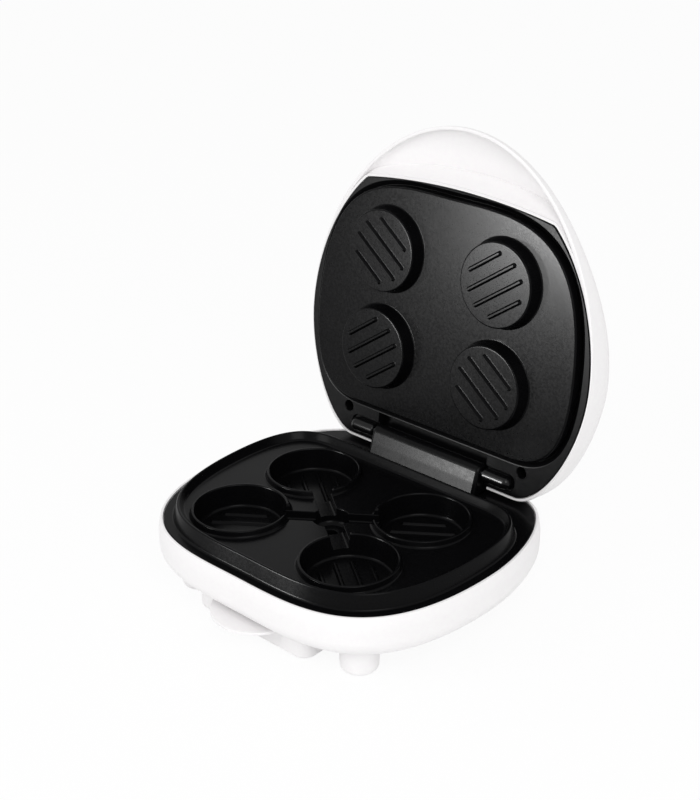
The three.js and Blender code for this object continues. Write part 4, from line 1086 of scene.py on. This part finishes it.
# %% [markdown]
# ## Floor and world
# A studio sweep: white floor and white world. The floor shows white to the camera and to reflections, but is
# partly lit as a normal surface, so that it keeps the grill's shadow. The world shows full white too, but
# lights with less. Plain white paper would need far stronger lamps to read as white.

# %% Floor and world
floor_half = 4.0
floor_white = 0.92
world_strength = 0.66


def seen_plainly(tree):
    """1 for a ray from the camera, off gloss or through glass, else 0: the largest of the three."""
    ray = add(tree, "ShaderNodeLightPath").outputs
    first = {0: ray["Is Camera Ray"], 1: ray["Is Glossy Ray"]}
    either = add(tree, "ShaderNodeMath", first, operation="MAXIMUM")
    last = {0: either.outputs[0], 1: ray["Is Transmission Ray"]}
    return add(tree, "ShaderNodeMath", last, operation="MAXIMUM").outputs[0]


floor_mesh = bpy.data.meshes.new("floor")
floor_corners = [(x * floor_half, y * floor_half, 0) for x, y in ((-1, -1), (1, -1), (1, 1), (-1, 1))]
floor_mesh.from_pydata(floor_corners, [], [(0, 1, 2, 3)])
floor = bpy.data.objects.new("floor", floor_mesh)
bpy.context.scene.collection.objects.link(floor)
paper = bpy.data.materials.new("white paper sweep")
paper.use_nodes = True
tree = paper.node_tree
paper_shader = tree.nodes["Principled BSDF"]
paper_shader.inputs["Base Color"].default_value = linear("#f7f7f7")
paper_shader.inputs["Roughness"].default_value = 0.9
seen = add(tree, "ShaderNodeMath", {0: seen_plainly(tree), 1: floor_white}, operation="MULTIPLY")
white = add(tree, "ShaderNodeEmission", {"Color": linear("#ffffff"), "Strength": 1.0})
both = add(tree, "ShaderNodeMixShader", {0: seen.outputs[0], 1: paper_shader.outputs[0], 2: white.outputs[0]})
tree.links.new(both.outputs[0], tree.nodes["Material Output"].inputs["Surface"])
floor_mesh.materials.append(paper)

world = bpy.data.worlds.new("studio")
world.use_nodes = True
bpy.context.scene.world = world
tree = world.node_tree
strength_range = {"Value": seen_plainly(tree), "To Min": world_strength, "To Max": 1.0}
strength = add(tree, "ShaderNodeMapRange", strength_range)
tree.nodes["Background"].inputs["Color"].default_value = linear("#ffffff")
tree.links.new(strength.outputs["Result"], tree.nodes["Background"].inputs["Strength"])
print("Floor", floor_half * 2, "m wide, world lights at", world_strength)

# %% [markdown]
# ## Lamps and colour
# A soft key from the front left and a fill from the right are both weak enough that a colour renders about
# as it is written. Black gloss shows only what it mirrors, so the sheen on the castings comes from white
# cards in front: lamps that only the dark pieces see, and only in gloss. Those on the lid and the hinge
# throw no shadow, or the discs would darken the plate beside them.

# %% Lamps
grill_middle = Vector((0, 30, 80))
card_place = (-468, -881, 170)


def soft_lamp(name, place_mm, width, height, watts):
    """A rectangular area lamp aimed at the middle of the grill."""
    lamp = bpy.data.objects.new(name, bpy.data.lights.new(name, "AREA"))
    lamp.data.shape = "RECTANGLE"
    lamp.data.size = width
    lamp.data.size_y = height
    lamp.data.energy = watts
    lamp.location = to_row @ Vector(place_mm)
    aim = to_row @ grill_middle - lamp.location
    lamp.rotation_euler = aim.to_track_quat("-Z", "Y").to_euler()
    bpy.context.scene.collection.objects.link(lamp)
    return lamp


soft_lamp("key", (-420, -850, 600), 0.4, 0.4, 2)
soft_lamp("fill", (850, -600, 850), 0.7, 0.7, 6)
for name, watts, pieces in (
    ("upper card", 25, (pan,)),
    ("hinge card", 13, (block, knuckles)),
    ("lower card", 15, (plate, floor_ribs, black_frame)),
):
    card = soft_lamp(name, card_place, 0.28, 0.22, watts)
    card.visible_diffuse = False
    card.data.use_shadow = name == "lower card"
    card.light_linking.receiver_collection = bpy.data.collections.new(name + " pieces")
    for piece in pieces:
        card.light_linking.receiver_collection.objects.link(piece)
bpy.context.scene.view_settings.view_transform = "Standard"
